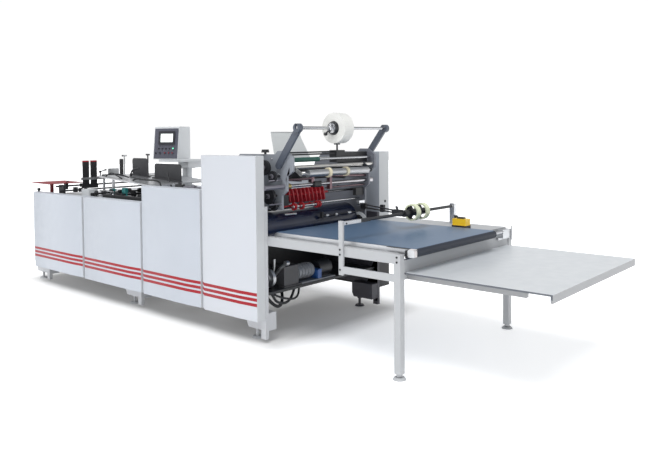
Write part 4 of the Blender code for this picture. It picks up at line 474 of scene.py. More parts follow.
# %% Zones on the solids
PLATE_TOP, BELT_TOP = 1.305, 0.77
RING_HUB, WHEEL_HUB, CLAMP_HUB = (0.14, 1.168), (-0.035, 0.922), (0.0, 1.077)
REEL_HUB, SHIELD_HUB, GREEN_HUB = (0.6675, 0.885), (-0.031, 0.746), (0.045, 1.264)
CREAM, BRASS = (0.7, 0.63, 0.46), (0.46, 0.36, 0.16)
TYRE_RED, STOP_RED = (0.36, 0.01, 0.016), (0.4, 0.012, 0.022)
SOOT, CARBON, TAR = (0.05, 0.055, 0.065), (0.03, 0.03, 0.034), (0.045, 0.045, 0.05)
DULL_STEEL, DARK_STEEL, BURNT_STEEL = (0.22, 0.215, 0.25), (0.16, 0.16, 0.17), (0.1, 0.1, 0.11)
FLANGE_PAINTED_SHADE, RECESS_PAINTED_SHADE = (0.3, 0.305, 0.315), (0.1, 0.11, 0.13)
SHADED_BELT = (0.008, 0.013, 0.027)

over_zone(tower_paint, INK, 0.35, x=(-0.3, -0.15), z=(PLATE_TOP + 0.001, PLATE_TOP + 0.06))
over_zone(unwind_steel, INK, 0.3, y=(0.6, 0.66), hub=ROLL_HUB, radius=(0.036, 0.1))
over_zone(roller_aluminium, CREAM, 0.45, hub=RING_HUB, radius=(0.027, 0.1))
over_zone(carrier_steel, SOOT, 0.35, 0.4, y=(1.09, 1.12))
over_zone(green_rubber, (0.5, 0.51, 0.53), 0.2, 1.0, hub=GREEN_HUB, radius=(0.0, 0.0135))
over_zone(wheel_steel, TYRE_RED, 0.5, hub=WHEEL_HUB, radius=(0.015, 0.1), x=(-0.07, 0.05))
over_zone(wheel_steel, STEEL, 0.2, 1.0, y=(0.7, 1.23))
over_zone(clamp_steel, BRASS, 0.3, 0.9, y=(0.29, 0.345), hub=CLAMP_HUB, radius=(0.0172, 0.05))
over_zone(clamp_steel, INK, 0.4, y=(0.584, 0.661), hub=CLAMP_HUB, radius=(0.0125, 0.06))
over_zone(clamp_steel, DULL_STEEL, 0.3, 0.6, y=(0.0, 0.29))
over_zone(red_enamel, DARK_STEEL, 0.25, 0.9, y=(0.862, 1.23))
over_zone(red_enamel, BURNT_STEEL, 0.3, 0.6, y=(0.29, 0.335))
over_zone(reel_plastic, INK, 0.4, hub=REEL_HUB, radius=(0.0, 0.0472))
over_zone(yellow_plastic, INK, 0.45, z=(0.7, BELT_TOP + 0.004))
over_zone(yellow_plastic, CARBON, 0.4, z=(BELT_TOP + 0.0505, 0.9))
over_zone(stop_black, STOP_RED, 0.4, z=(1.197, 1.3))
for head_y in ((0.78, 0.8285), (0.5, 0.64)):
    over_zone(post_metal, INK, 0.4, x=(-3.0, -2.8), y=head_y, z=(1.0405, 1.3))
over_zone(shield_white, INK, 0.5, hub=SHIELD_HUB, radius=(0.0, 0.05), x=(-0.09, 0.03))
over_zone(motor_paint, INK, 0.4, y=(0.72, 0.9), z=(0.3506, 0.6))
over_zone(motor_paint, TAR, 0.45, y=(0.25, 0.5))
over_zone(bar_metal, INK, 0.4, y=(0.3, 1.43))
# painted shade: the table's side flange is painted darker than its top, for the way light falls on it
over_zone(panel_paint, FLANGE_PAINTED_SHADE, 0.4, z=(0.57, 0.6268))
# painted shade: the recess under the table's near edge is painted dark
over_zone(panel_paint, RECESS_PAINTED_SHADE, 0.4, y=(0.1, 0.1556), z=(0.6, 0.6285))
over_zone(belt_cloth, SHADED_BELT, 0.5, x=(1.172, 1.2))
print("finishes with zones:", len(zoned_names))

# %% [markdown]
# Each solid now gets its finish. The model has one material slot to a solid, so a table of finishes
# and names is enough, and a solid that was forgotten is named in the last line.

# %% Finish of each solid
FINISHES = {
    cover_paint: ("near_feeder_cover", "near_transport_cover", "near_gluing_cover", "near_tower_cover",
                  "far_feeder_cover", "far_transport_cover", "far_gluing_cover", "far_tower_cover"),
    frame_paint: ("near_side_frame", "feeder_bed"),
    far_frame_painted_shade: ("far_side_frame",),
    tower_paint: ("near_tower_plate",),
    far_tower_painted_shade: ("far_tower_plate",),
    motor_paint: ("drive_gearmotor",),
    arm_paint: ("near_unwind_arm", "far_unwind_arm"),
    guide_black: ("side_guide", "long_side_guide"),
    stop_black: ("pile_stops",),
    black_paint: ("tower_bulkhead", "transport_bed", "tower_bed", "motor_shelf", "reel_arm",
                  "transport_wheels", "feeder_shafts", "web_rods", "brake_unit"),
    console_face: ("console_panel",),
    shield_white: ("end_shield",),
    white_paint: ("control_pedestal", "control_console", "feeder_end_panel", "gauge_block"),
    rail_paint: ("near_rail", "guard_frame", "delivery_frame", "far_rail"),
    chute_paint: ("film_chute",),
    panel_paint: ("collecting_table",),
    feed_plate_metal: ("feed_table",),
    post_metal: ("feed_bar",),
    anodised: ("conveyor_bed", "drive_pulley"),
    bar_metal: ("cross_bar",),
    roller_aluminium: ("ring_roller",),
    carrier_steel: ("ring_roller_carrier",),
    unwind_steel: ("unwind_shaft",),
    clamp_steel: ("clamp_shaft",),
    wheel_steel: ("press_wheels",),
    polished_steel: ("gluing_drum",),
    navy_lacquer: ("patching_cylinder",),
    belt_cloth: ("conveyor_belt",),
    tray_red: ("feed_tray",),
    red_enamel: ("separator_fins",),
    green_rubber: ("green_roller",),
    film_wound: ("film_roll",),
    reel_plastic: ("tape_reels",),
    yellow_plastic: ("stop_box",),
}
for finish, names in FINISHES.items():
    for name in names:
        nodes[name].material_slots[0].material = finish[0]
print("unfinished nodes:", sorted(set(nodes) - {n for names in FINISHES.values() for n in names}))

# %% [markdown]
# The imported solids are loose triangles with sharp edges, and real sheet and bar never has a sharp
# edge: light catches a small round there. A node group joins the triangles and marks what is round
# as smooth, and a Bevel modifier rounds what is left sharp. Folded covers have a wider round than
# machined parts.

# %% Softened edges
JOIN_DISTANCE = 0.00002
CREASE_ANGLE = math.radians(32)
COVER_EDGE, PLAIN_EDGE = 0.003, 0.0012
EDGE_STEPS = 2


def smoothing_group():
    """Geometry nodes: join touching points, smooth all faces, keep edges over the crease angle sharp."""
    group = bpy.data.node_groups.new("smooth_round_faces", "GeometryNodeTree")
    for way in ("INPUT", "OUTPUT"):
        group.interface.new_socket("Geometry", in_out=way, socket_type="NodeSocketGeometry")
    chain = [group.nodes.new(kind) for kind in (
        "NodeGroupInput", "GeometryNodeMergeByDistance", "GeometryNodeRemoveAttribute",
        "GeometryNodeSetShadeSmooth", "GeometryNodeSetShadeSmooth", "NodeGroupOutput")]
    for first, second in zip(chain, chain[1:]):
        group.links.new(first.outputs[0], second.inputs[0])
    join, plain, _, crease = chain[1:5]
    join.inputs["Distance"].default_value = JOIN_DISTANCE
    plain.inputs["Name"].default_value = "custom_normal"
    crease.domain = "EDGE"
    crease.inputs["Shade Smooth"].default_value = False
    bend = group.nodes.new("GeometryNodeInputMeshEdgeAngle")
    steep = group.nodes.new("FunctionNodeCompare")
    steep.operation = "GREATER_THAN"
    steep.inputs[1].default_value = CREASE_ANGLE
    group.links.new(bend.outputs["Unsigned Angle"], steep.inputs[0])
    group.links.new(steep.outputs[0], crease.inputs["Selection"])
    return group


def soften(obj, width):
    """Smooths an object's round faces and rounds its sharp edges by a width in metres."""
    obj.modifiers.new("smooth_round_faces", "NODES").node_group = smoothing
    bevel = obj.modifiers.new("rounded_edges", "BEVEL")
    bevel.width = width
    bevel.segments = EDGE_STEPS
    bevel.limit_method = "ANGLE"
    bevel.angle_limit = CREASE_ANGLE
    bevel.harden_normals = True


smoothing = smoothing_group()
for name, obj in nodes.items():
    soften(obj, COVER_EDGE if name.endswith("cover") else PLAIN_EDGE)
print("softened:", len(nodes), "nodes")

# %% [markdown]
# Every small fitting below is one skin, or a few, each stretched over rings of points: a rod is a
# circle carried along a path, a knob is a circle that grows and shrinks along a line, a bar is a
# rectangle carried from one end to the other. Working the rings out as whole arrays keeps the
# shape in one formula that can be read and changed.

# %% Skins over rings


def skin(rings):
    """Closed skin: point j of ring i meets point j + 1 and the same two of ring i + 1; ends are filled."""
    count, around = rings.shape[:2]
    index = np.arange(count * around).reshape(count, around)
    beside = np.roll(index, -1, axis=1)
    quads = np.stack([index[:-1], beside[:-1], beside[1:], index[1:]], axis=-1).reshape(-1, 4)
    return rings.reshape(-1, 3), quads.tolist() + [index[0][::-1].tolist(), index[-1].tolist()]


def eased(points, rounds):
    """Path with its corners cut: each side keeps its middle half, so that a bend becomes a curve."""
    path = np.array(points, float)
    for _ in range(rounds):
        near_cut = path[:-1] * 0.75 + path[1:] * 0.25
        far_cut = path[:-1] * 0.25 + path[1:] * 0.75
        inner = np.stack([near_cut, far_cut], axis=1).reshape(-1, 3)
        path = np.vstack([path[:1], inner, path[-1:]])
    return path


def rod(points, radius, sides=12, rounds=0):
    """Circle of a radius carried along a path; side and up are at right angles to the path."""
    path = eased(points, rounds)
    along = np.gradient(path, axis=0)
    along /= np.linalg.norm(along, axis=1, keepdims=True)
    guide = np.eye(3)[np.argmin(np.abs(path[-1] - path[0]))]
    side = np.cross(along, guide)
    side /= np.linalg.norm(side, axis=1, keepdims=True)
    up = np.cross(along, side)
    angle = np.arange(sides) * math.tau / sides
    ring = np.cos(angle)[None, :, None] * side[:, None] + np.sin(angle)[None, :, None] * up[:, None]
    return skin(path[:, None] + radius * ring)


def turned(profile, place, axis=1, sides=20):
    """Pairs of radius and travel, each a circle about the axis through the place."""
    radius, travel = np.array(profile, float).T
    angle = np.arange(sides) * math.tau / sides
    first, second = [d for d in (0, 1, 2) if d != axis]
    rings = np.zeros((len(radius), sides, 3)) + np.array(place, float)
    rings[..., axis] += travel[:, None]
    rings[..., first] += radius[:, None] * np.cos(angle)
    rings[..., second] += radius[:, None] * np.sin(angle)
    return skin(rings)


def collar(place, radius, width, axis=1, sides=20):
    """Plain disc: one circle carried over a width along the axis."""
    return turned([(radius, 0.0), (radius, width)], place, axis, sides)


def bar(x, y, z):
    """Rectangle of the x and y spans carried from the low to the high z."""
    corners = np.array([(x[0], y[0]), (x[1], y[0]), (x[1], y[1]), (x[0], y[1])], float)
    rings = np.zeros((2, 4, 3))
    rings[..., :2] = corners
    rings[..., 2] = np.array(z)[:, None]
    return skin(rings)


def dome(radius, rise, steps=5):
    """Profile of a cap: a rim of 0.3 of the rise, then radius by cosine and height by sine to 82 degrees."""
    angle = np.linspace(0.0, math.radians(82), steps)
    return [(radius, 0.0)] + list(zip(radius * np.cos(angle), rise * (0.3 + 0.7 * np.sin(angle))))


print("skins ready")

# %% [markdown]
# A piece is one object made of such skins. Its points are measured from the machine's datum, so
# its place is in its mesh and its object stays at the origin. Normals are set to look outwards,
# sharp edges get a small round, and the piece rides on the body that carries it. Most fittings are
# blackened steel on the fixed frame, so a piece is that unless it says otherwise.

# %% Pieces
made = []


def piece(name, skins, finish=black_paint, body="machine_frame", edge=0.001):
    """One object of one or more skins, in a finish, riding on a body."""
    points, faces, start = [], [], 0
    for skin_points, skin_faces in skins:
        points.append(skin_points)
        faces += [[start + i for i in face] for face in skin_faces]
        start += len(skin_points)
    mesh = bpy.data.meshes.new(name)
    mesh.from_pydata((np.vstack(points) + DATUM).tolist(), [], faces)
    shell = bmesh.new()
    shell.from_mesh(mesh)
    bmesh.ops.recalc_face_normals(shell, faces=shell.faces)
    shell.to_mesh(mesh)
    shell.free()
    mesh.materials.append(finish[0])
    obj = bpy.data.objects.new(name, mesh)
    bpy.context.scene.collection.objects.link(obj)
    soften(obj, edge)
    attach(obj, body)
    made.append(name)
    return obj


print("piece maker ready")

# %% [markdown]
# The console's display is a lit panel behind a black bezel, and its push buttons have coloured
# caps. All lie on a face that leans back and is turned to the operator, so they are worked out
# flat, as across, out and up, and then set on that face by one formula. The plain white head that
# joins the pedestal to the console stands square, and is one block.

# %% Console display and buttons
CONSOLE_PLACE = np.array([-2.83, 1.375, 1.2003])
CONSOLE_HALF_DEPTH, CONSOLE_LEAN, CONSOLE_RISE = 0.125, 0.045, 0.355
CONSOLE_TURN = math.radians(20.0)
FACE_LEAN = math.atan2(CONSOLE_LEAN, CONSOLE_RISE)
DISPLAY_CENTRE, DISPLAY_SIZE, BEZEL_SIZE = (0.011, 0.232), (0.161, 0.094), (0.206, 0.147)
DISPLAY_OUT, BEZEL_OUT = (0.0096, 0.0106), (0.0144, 0.0158)
BUTTON_RADIUS, BUTTON_RISE, BUTTON_OUT = 0.0085, 0.004, 0.0146
BUTTON_ROWS = (0.117, 0.069)
FINE_EDGE = 0.0003


def on_console(skins):
    """Leans a flat layout back, moves it to the console's front and turns it with the console."""
    placed = []
    for points, faces in skins:
        across, out, up = points.T
        back = -out * math.cos(FACE_LEAN) + up * math.sin(FACE_LEAN) - CONSOLE_HALF_DEPTH
        rise = out * math.sin(FACE_LEAN) + up * math.cos(FACE_LEAN)
        x = across * math.cos(CONSOLE_TURN) - back * math.sin(CONSOLE_TURN)
        y = across * math.sin(CONSOLE_TURN) + back * math.cos(CONSOLE_TURN)
        placed.append((np.stack([x, y, rise], axis=1) + CONSOLE_PLACE, faces))
    return placed


def lit(name, colour, strength):
    """Plastic that glows with its own colour."""
    finish = painted(name, shade(colour, 0.8), 0.3, 0.02)
    finish[2].inputs["Emission Color"].default_value = (*colour, 1.0)
    finish[2].inputs["Emission Strength"].default_value = strength
    return finish


def spans_about(centre, size):
    """The spans of a rectangle about its centre: half its size to each side."""
    return [(c - s / 2, c + s / 2) for c, s in zip(centre, size)]


display_light = lit("display_light", (0.9, 0.96, 0.94), 0.55)
lamp_green = lit("lamp_green", (0.18, 0.85, 0.52), 0.9)
cap_black = painted("cap_black", (0.015, 0.015, 0.022), 0.35)
cap_red = painted("cap_red", (0.22, 0.01, 0.02), 0.35)
inner_x, inner_z = spans_about(DISPLAY_CENTRE, DISPLAY_SIZE)
outer_x, outer_z = spans_about(DISPLAY_CENTRE, BEZEL_SIZE)
piece("console_display", on_console([bar(inner_x, DISPLAY_OUT, inner_z)]), display_light,
      edge=0.0002)
bezel = [bar(outer_x, BEZEL_OUT, (inner_z[1], outer_z[1])), bar(outer_x, BEZEL_OUT, (outer_z[0], inner_z[0])),
         bar((outer_x[0], inner_x[0]), BEZEL_OUT, inner_z), bar((inner_x[1], outer_x[1]), BEZEL_OUT, inner_z)]
piece("display_bezel", on_console(bezel), cap_black, edge=FINE_EDGE)
piece("pedestal_head", [bar((-2.66, -2.48), (1.33, 1.53), (1.108, 1.199))], white_paint,
      edge=0.006)
BUTTON_LAYOUT = {
    "button_caps_dark": (cap_black, "dark_paint", ((-0.089, -0.042, 0.005, 0.051), (-0.125, -0.072))),
    "button_caps_red": (cap_red, "red_paint", ((), (-0.005, 0.047, 0.091))),
    "button_cap_lit": (lamp_green, "green_rubber", ((0.1,), ())),
}
for name, (finish, slot, rows) in BUTTON_LAYOUT.items():
    caps = [turned(dome(BUTTON_RADIUS, BUTTON_RISE), (across, BUTTON_OUT, up), sides=16)
            for up, row in zip(BUTTON_ROWS, rows) for across in row]
    piece(name, on_console(caps), finish, edge=FINE_EDGE)
print("console pieces:", made)

# %% [markdown]
# Bolts hold the guard frame to the rail and the rail to the leg. Each is a low black head with a
# socket. A thread wouldn't show, so a head is a turned cap, and all of them are one piece. The
# bolts on the near tower plate are bright, so they are a second piece.

# %% Bolts
GUARD_FACE, LEG_FACE, TOWER_FACE = 0.1047, 0.0998, 0.2799
BOLT_RADIUS, END_BOLT_RADIUS, PLATE_BOLT_RADIUS = 0.0065, 0.011, 0.008
BOLT_PROFILE = ((1.0, 0.0), (1.0, 0.003), (0.85, 0.0042), (0.45, 0.0042), (0.42, 0.0015))
BOLT_EDGE = 0.0004


def bolt_head(place, axis=1, way=-1, radius=BOLT_RADIUS):
    """Cap with a chamfer and a sunk socket, its travel along an axis in the way of its sign."""
    return turned([(radius * share, travel * way) for share, travel in BOLT_PROFILE], place, axis, 12)


bolts = [bolt_head((0.6625, GUARD_FACE, z)) for z in (0.722, 0.691, 0.596)]
bolts += [bolt_head((1.0975, LEG_FACE, z)) for z in (0.722, 0.693)]
bolts += [bolt_head((0.692, 0.135, 0.885), 0, 1), bolt_head((0.0001, 1.484, 0.883), 0, 1, END_BOLT_RADIUS)]
bolts += [bolt_head((1.098, 1.5232, z), 1, 1) for z in (0.722, 0.693)]
piece("black_bolts", bolts, edge=BOLT_EDGE)
plate_bolts = [bolt_head((x, TOWER_FACE, z), radius=PLATE_BOLT_RADIUS) for x, z in
               ((-0.12, 1.27), (-0.24, 1.25), (-0.05, 1.16), (-0.15, 1.1), (-0.28, 1.12))]
piece("plate_bolts", plate_bolts, polished_steel, edge=BOLT_EDGE)
print("bolts:", len(bolts) + len(plate_bolts))

# %% [markdown]
# The feeder is full of small parts: clamps on the shafts, cranks, a chain of cams and clips under
# the plates, and thin bent rods that hold the sheets down. They are too fine for the solids, and
# each sits on a shaft, bed or plate of the model. A cam is drawn as a disc a little off its shaft's
# line, which is what makes it lift.

# %% Feeder fittings
BED_FLOOR = 0.8605
CAM_X, CAM_Z, CAM_SHAFT_RADIUS = -2.4, 0.915, 0.009
CAM_BEARING_HALF, CAM_BEARING_WIDTH = 0.022, 0.016
CAMS = ((0.2, 0.03, 0.014, 0.0), (0.27, 0.022, 0.03, 0.004), (0.36, 0.034, 0.012, -0.006),
        (0.44, 0.02, 0.04, 0.0), (0.55, 0.032, 0.014, 0.006), (0.66, 0.024, 0.03, 0.0),
        (0.78, 0.032, 0.014, -0.004))

knob_profile = [(0.01, 0.0), (0.01, 0.01), (0.015, 0.014), (0.015, 0.03), (0.011, 0.035)]
piece("cover_knob", [turned(knob_profile, (-3.241, 0.06, 0.9065), 2)])
piece("shaft_clamps", [
    bar((-3.07, -3.03), (0.236, 0.262), (0.925, 0.99)),
    bar((-3.003, -2.967), (0.296, 0.33), (0.895, 0.945)),
    collar((-2.985, 0.352, 0.915), 0.02, 0.03),
    collar((-3.05, 0.4, 0.958), 0.018, 0.026),
    bar((-3.075, -3.02), (0.44, 0.47), (0.93, 0.985)),
    rod([(-3.05, 0.249, 0.985), (-3.035, 0.249, 1.005), (-3.0, 0.249, 1.01)], 0.005, 8, 2)])
cams = [rod([(CAM_X, 0.15, CAM_Z), (CAM_X, 0.9, CAM_Z)], CAM_SHAFT_RADIUS)]
cams += [collar((CAM_X + throw, y, CAM_Z), radius, width) for y, radius, width, throw in CAMS]
cams += [bar((CAM_X - CAM_BEARING_HALF, CAM_X + CAM_BEARING_HALF), (y, y + CAM_BEARING_WIDTH),
             (BED_FLOOR, 0.925)) for y in (0.16, 0.87)]
piece("cam_shaft", cams)
piece("feeder_clips", [
    rod([(-2.54, 0.33, 0.93), (-2.3, 0.33, 0.925)], 0.007),
    rod([(-2.33, 0.18, 0.9), (-2.33, 0.76, 0.9)], 0.006),
    bar((-2.48, -2.44), (0.3, 0.33), (BED_FLOOR, 0.93)),
    bar((-2.29, -2.262), (0.24, 0.29), (BED_FLOOR, 0.918)),
    bar((-2.31, -2.29), (0.318, 0.342), (BED_FLOOR, 0.93)),
    collar((-2.33, 0.5, 0.9), 0.016, 0.03)], polished_steel)
teal_enamel = painted("teal_enamel", (0.02, 0.19, 0.19), 0.35, 0.1)
piece("teal_clips", [
    bar((-2.47, -2.385), (0.384, 0.41), (0.93, 0.947)),
    bar((-2.245, -2.185), (0.38, 0.41), (0.92, 0.965)),
    bar((-2.25, -2.18), (0.39, 0.4), (BED_FLOOR, 0.922)),
    bar((-2.45, -2.4), (0.392, 0.402), (0.9, 0.932))], teal_enamel)
print("pieces so far:", len(made))

# %% [markdown]
# Over the feed plates lie black rods and levers that are bent by hand to suit the blank. A bent rod
# is drawn best as a few points whose corners are cut away until they become a curve. Two flat
# strips follow the plate's slope, and a small sensor on its own rod watches the sheet's edge.

# %% Hold-down rods
FEED_PLATE_START, FEED_PLATE_SLOPE = -2.756, (1.062 - 1.005) / 0.88
BENT_RODS = (
    (0.009, 2, [(-2.588, 0.7, 1.05), (-2.588, 0.7, 1.086), (-2.551, 0.7, 1.114),
                (-2.447, 0.7, 1.132)]),
    (0.007, 3, [(-2.76, 0.48, 1.066), (-2.62, 0.5, 1.074), (-2.52, 0.52, 1.082),
                (-2.38, 0.54, 1.052)]),
    (0.006, 3, [(-2.64, 0.45, 1.058), (-2.56, 0.46, 1.1), (-2.48, 0.47, 1.07),
                (-2.4, 0.48, 1.042)]),
    (0.008, 3, [(-2.24, 0.5, 1.032), (-2.18, 0.5, 1.05), (-2.06, 0.5, 1.042),
                (-1.82, 0.5, 1.043), (-1.79, 0.5, 1.0), (-1.79, 0.5, 0.94)]),
    (0.008, 3, [(-2.061, 0.769, 1.093), (-2.04, 0.755, 1.06), (-1.984, 0.74, 1.0),
                (-1.9, 0.7, 0.955), (-1.85, 0.69, 0.936)]))

piece("hold_down_rods", [rod(path, radius, 10, rounds) for radius, rounds, path in BENT_RODS])
plate_strips = [bar((-2.74, -2.3), (y, y + 0.012), (1.0635, 1.0665)) for y in (0.62, 0.9)]
for points, faces in plate_strips:
    points[:, 2] -= FEED_PLATE_SLOPE * (points[:, 0] - FEED_PLATE_START)
piece("plate_strips", plate_strips, edge=0.0006)
piece("lever_ends", [turned(dome(0.011, 0.011), (-2.447, 0.7, 1.128), 2, 14),
                     collar((-2.588, 0.7, 1.0515), 0.013, 0.012, 2)])
piece("edge_sensor", [bar((-1.275, -1.166), (0.278, 0.302), (1.004, 1.046)),
                      bar((-1.24, -1.2), (0.284, 0.296), (1.046, 1.058))], edge=0.003)
piece("sensor_rod", [rod([(-1.18, 0.29, 1.025), (-0.5605, 0.29, 1.025)], 0.009),
                     collar((-1.06, 0.29, 1.025), 0.018, 0.05, 0)], clamp_steel)
print("pieces so far:", len(made))

# %% [markdown]
# The unwind chuck grips the film roll's core with three jaws round a bright boss, and a small black
# knob on its side locks it. The jaws are solid already, so only the boss and the knob are added.
# They turn with the spool, so they ride on its body.

# %% Chuck details
BOSS_PROFILE = [(0.016, 0.0), (0.016, -0.01), (0.02, -0.012), (0.02, -0.026), (0.0125, -0.03)]
LOCK_PROFILE = [(0.006, -0.013), (0.012, -0.008), (0.013, 0.0), (0.012, 0.008), (0.006, 0.013)]
LOCK_START, LOCK_REACH, LOCK_ANGLE = 0.03, 0.064, math.radians(222)

piece("chuck_boss", [turned(BOSS_PROFILE, (ROLL_HUB[0], 0.612, ROLL_HUB[1]))], polished_steel,
      "film_spool", 0.0008)
lock_way = np.array([math.cos(LOCK_ANGLE), 0.0, math.sin(LOCK_ANGLE)])
lock_line = np.array([ROLL_HUB[0], 0.6, ROLL_HUB[1]])
lock_root, lock_end = lock_line + lock_way * LOCK_START, lock_line + lock_way * LOCK_REACH
piece("chuck_knob", [rod([lock_root, lock_end], 0.006, 10), turned(LOCK_PROFILE, lock_end)],
      body="film_spool", edge=0.0005)
print("chuck pieces:", made[-2:])

# %% [markdown]
# The film chute is a bent sheet that leans back over the tower and widens towards its foot. The solid
# is as wide as the tower. The photograph shows a much narrower sheet, so it is drawn again here
# between its four corners, with a folded top lip and a foot strip across the tower, and takes the
# place of the wide one.

# %% Film chute
CHUTE_CORNERS = np.array([(-0.448, 0.589, 1.469), (-0.448, 0.904, 1.469),
                          (-0.272, 0.86, 1.252), (-0.272, 0.463, 1.252)])
CHUTE_SHEET = np.array([0.0026, 0.0, 0.0021])
chute = piece("narrow_chute", [skin(np.stack([CHUTE_CORNERS, CHUTE_CORNERS + CHUTE_SHEET])),
                               bar((-0.449, -0.438), (0.589, 0.904), (1.466, 1.4695)),
                               bar((-0.29, -0.27), (0.301, 1.219), (1.2505, 1.262))],
              chute_paint)
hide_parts("film_chute")
print("chute drawn again:", chute.name)

# %% [markdown]
# Between the tower plates run thin guide rods for the web, one bent chrome bracket that ends the
# ring roller's path, and the drive gears beside the near plate. Rods have bright ends where they
# are clamped, so some have a collar. Every rod here starts or ends on a plate's inner face, so one
# helper draws them from a line's x and z. Teeth would be finer than a pixel: a gear is a disc.

# %% Web rods and gears
NEAR_PLATE, FAR_PLATE, PLATE_BACK = 0.302, 1.2192, 0.2796
GEARS = ((-0.075, 1.01, 0.15, 0.2, 0.058, 0.02), (-0.06, 0.935, 0.2, 0.232, 0.03, 0.02),
         (-0.04, 1.15, 0.18, 0.205, 0.04, 0.016), (-0.135, 1.21, 0.19, 0.215, 0.055, 0.02))
HUB_PROFILE = [(0.018, 0.0), (0.018, -0.012), (0.012, -0.014)]
HOLE_PROFILE = [(0.011, 0.0), (0.011, -0.004), (0.008, -0.005)]


def cross_rod(x, z, radius, start=NEAR_PLATE, end=FAR_PLATE):
    """Straight rod along Y, from plate to plate unless it stops short."""
    return rod([(x, start, z), (x, end, z)], radius)


piece("web_bracket", [
    rod([(0.05, NEAR_PLATE, 1.226), (0.05, 0.33, 1.215), (0.05, 0.396, 1.156), (0.05, 0.47, 1.153),
         (0.05, 0.505, 1.158)], 0.007, 12, 2),
    rod([(-0.015, NEAR_PLATE, 0.875), (-0.015, 0.42, 0.872)], 0.007),
    *[collar((-0.015, y, 0.828), 0.012, width) for y, width in ((0.74, 0.03), (0.85, 0.024), (1.0, 0.04))],
    bar((-0.04, -0.01), (1.15, FAR_PLATE), (0.874, 0.912))], polished_steel)
dusky_steel = drawn_metal("dusky_steel", (0.2, 0.135, 0.15), 0.3)
piece("dusky_rods", [
    rod([(0.004, NEAR_PLATE, 1.122), (0.004, 0.577, 1.12)], 0.009),
    rod([(-0.004, 0.78, 1.132), (-0.004, FAR_PLATE, 1.116)], 0.01),
    cross_rod(-0.012, 1.041, 0.006, 0.74),
    bar((-0.022, 0.012), (0.56, 0.59), (1.09, 1.14)),
    bar((-0.022, 0.012), (0.765, 0.79), (1.03, 1.145))], dusky_steel)
piece("web_guides", [
    cross_rod(-0.015, 0.828, 0.005, 0.7),
    bar((-0.026, -0.004), (0.69, 0.715), (0.815, 0.86)),
    cross_rod(-0.058, 1.18, 0.012),
    cross_rod(-0.12, 1.12, 0.014),
    cross_rod(-0.09, 0.95, 0.01, end=0.44),
    bar((-0.15, -0.03), (0.48, 0.5), (1.1, 1.2)),
    bar((-0.15, -0.03), (0.98, 1.0), (1.1, 1.2)),
    bar((-0.062, -0.03), (NEAR_PLATE, 0.36), (0.935, 1.01)),
    bar((-0.052, -0.02), (1.12, FAR_PLATE), (0.955, 1.015))])
gears = [collar((x, y, z), radius, width, sides=28) for x, z, _, y, radius, width in GEARS]
gears += [cross_rod(x, z, 0.01, shaft_start, PLATE_BACK) for x, z, shaft_start, *_ in GEARS]
piece("tower_gears", gears)
gear_hubs = [turned(HUB_PROFILE, (x, y, z)) for x, z, _, y, radius, _ in GEARS if radius > 0.03]
gear_hubs += [bar((-0.03, -0.012), (0.15, PLATE_BACK), (1.12, 1.128)),
              cross_rod(-0.03, 0.955, 0.006, 0.165, PLATE_BACK)]
piece("gear_hubs", gear_hubs, clamp_steel)
screws = [turned(HOLE_PROFILE, (x, 1.2196, z), sides=14)
          for x, z in ((-0.294, 1.013), (-0.153, 0.994), (-0.05, 1.0), (-0.22, 1.1))]
piece("far_plate_screws", screws, edge=0.0004)
print("pieces so far:", len(made))

# %% [markdown]
# At the delivery end the belt's roller turns in a split bearing, white with a dark insert, and the
# far end of its shaft has bright take-up brackets. Under the tower a blue junction box, a clutch
# with its pale bent yoke and three slack cables sit on the motor shelf. The reel arm has two clips
# and a bent wire, and the cross bar's far foot a knob. All are bars, rods and turned shapes.

# %% Delivery and drive fittings
BEARING_Y = (0.149, 0.1735)
CABLES = (
    (0.01, [(-0.05, 0.2, 0.318), (-0.06, 0.26, 0.24), (-0.09, 0.42, 0.21), (-0.16, 0.56, 0.318)]),
    (0.008, [(-0.08, 0.22, 0.318), (-0.04, 0.3, 0.27), (-0.06, 0.48, 0.23), (-0.2, 0.64, 0.318)]),
    (0.012, [(-0.12, 0.18, 0.318), (-0.11, 0.3, 0.19), (-0.14, 0.4, 0.2), (-0.24, 0.48, 0.318)]))

bearing_white = painted("bearing_white", (0.7, 0.66, 0.66), 0.35, 0.03)
piece("bearing_cap", [bar((1.1877, 1.1905), BEARING_Y, (0.724, 0.763)),
                      bar((1.15, 1.1905), BEARING_Y, (0.7667, 0.7695))], bearing_white)
piece("rail_end_strip", [bar((0.985, 1.148), (0.149, 0.176), (0.7669, 0.769))])
piece("bearing_insert", [bar((1.121, 1.1393), (0.148, 0.174), (0.715, 0.76))])
piece("take_up_bracket", [
    bar((1.121, 1.129), (1.3, 1.47), (0.68, 0.745)),
    bar((1.129, 1.175), (1.2785, 1.284), (0.7, 0.764)),
    bar((1.121, 1.13), (1.2785, 1.3), (0.7, 0.74)),
    bar((1.121, 1.129), (1.509, 1.515), (0.66, 0.765)),
    turned([(0.012, 0.0), (0.012, 0.02), (0.008, 0.024)], (1.1635, 1.2785, 0.7435))], anodised)
blue_enamel = painted("blue_enamel", (0.02, 0.075, 0.25), 0.35, 0.1)
piece("junction_box", [
    bar((-0.2, -0.045), (0.6815, 0.7255), (0.3507, 0.415)),
    bar((-0.205, -0.04), (0.679, 0.728), (0.4152, 0.422))], blue_enamel, edge=0.002)
piece("clutch_yoke", [
    rod([(-0.145, 0.3, 0.345), (-0.145, 0.3, 0.4), (-0.07, 0.3, 0.48), (0.0, 0.3, 0.53)],
        0.012, 12, 2),
    rod([(-0.145, 0.3, 0.4), (-0.125, 0.3, 0.47), (-0.125, 0.3, 0.545)], 0.01, 12, 2),
    collar((0.0, 0.286, 0.53), 0.018, 0.03),
    turned([(0.02, 0.0), (0.02, 0.06), (0.014, 0.066)], (-0.21, 0.96, 0.3405), 2)],
    post_metal)
piece("motor_cables", [rod(path, radius, 10, 3) for radius, path in CABLES])
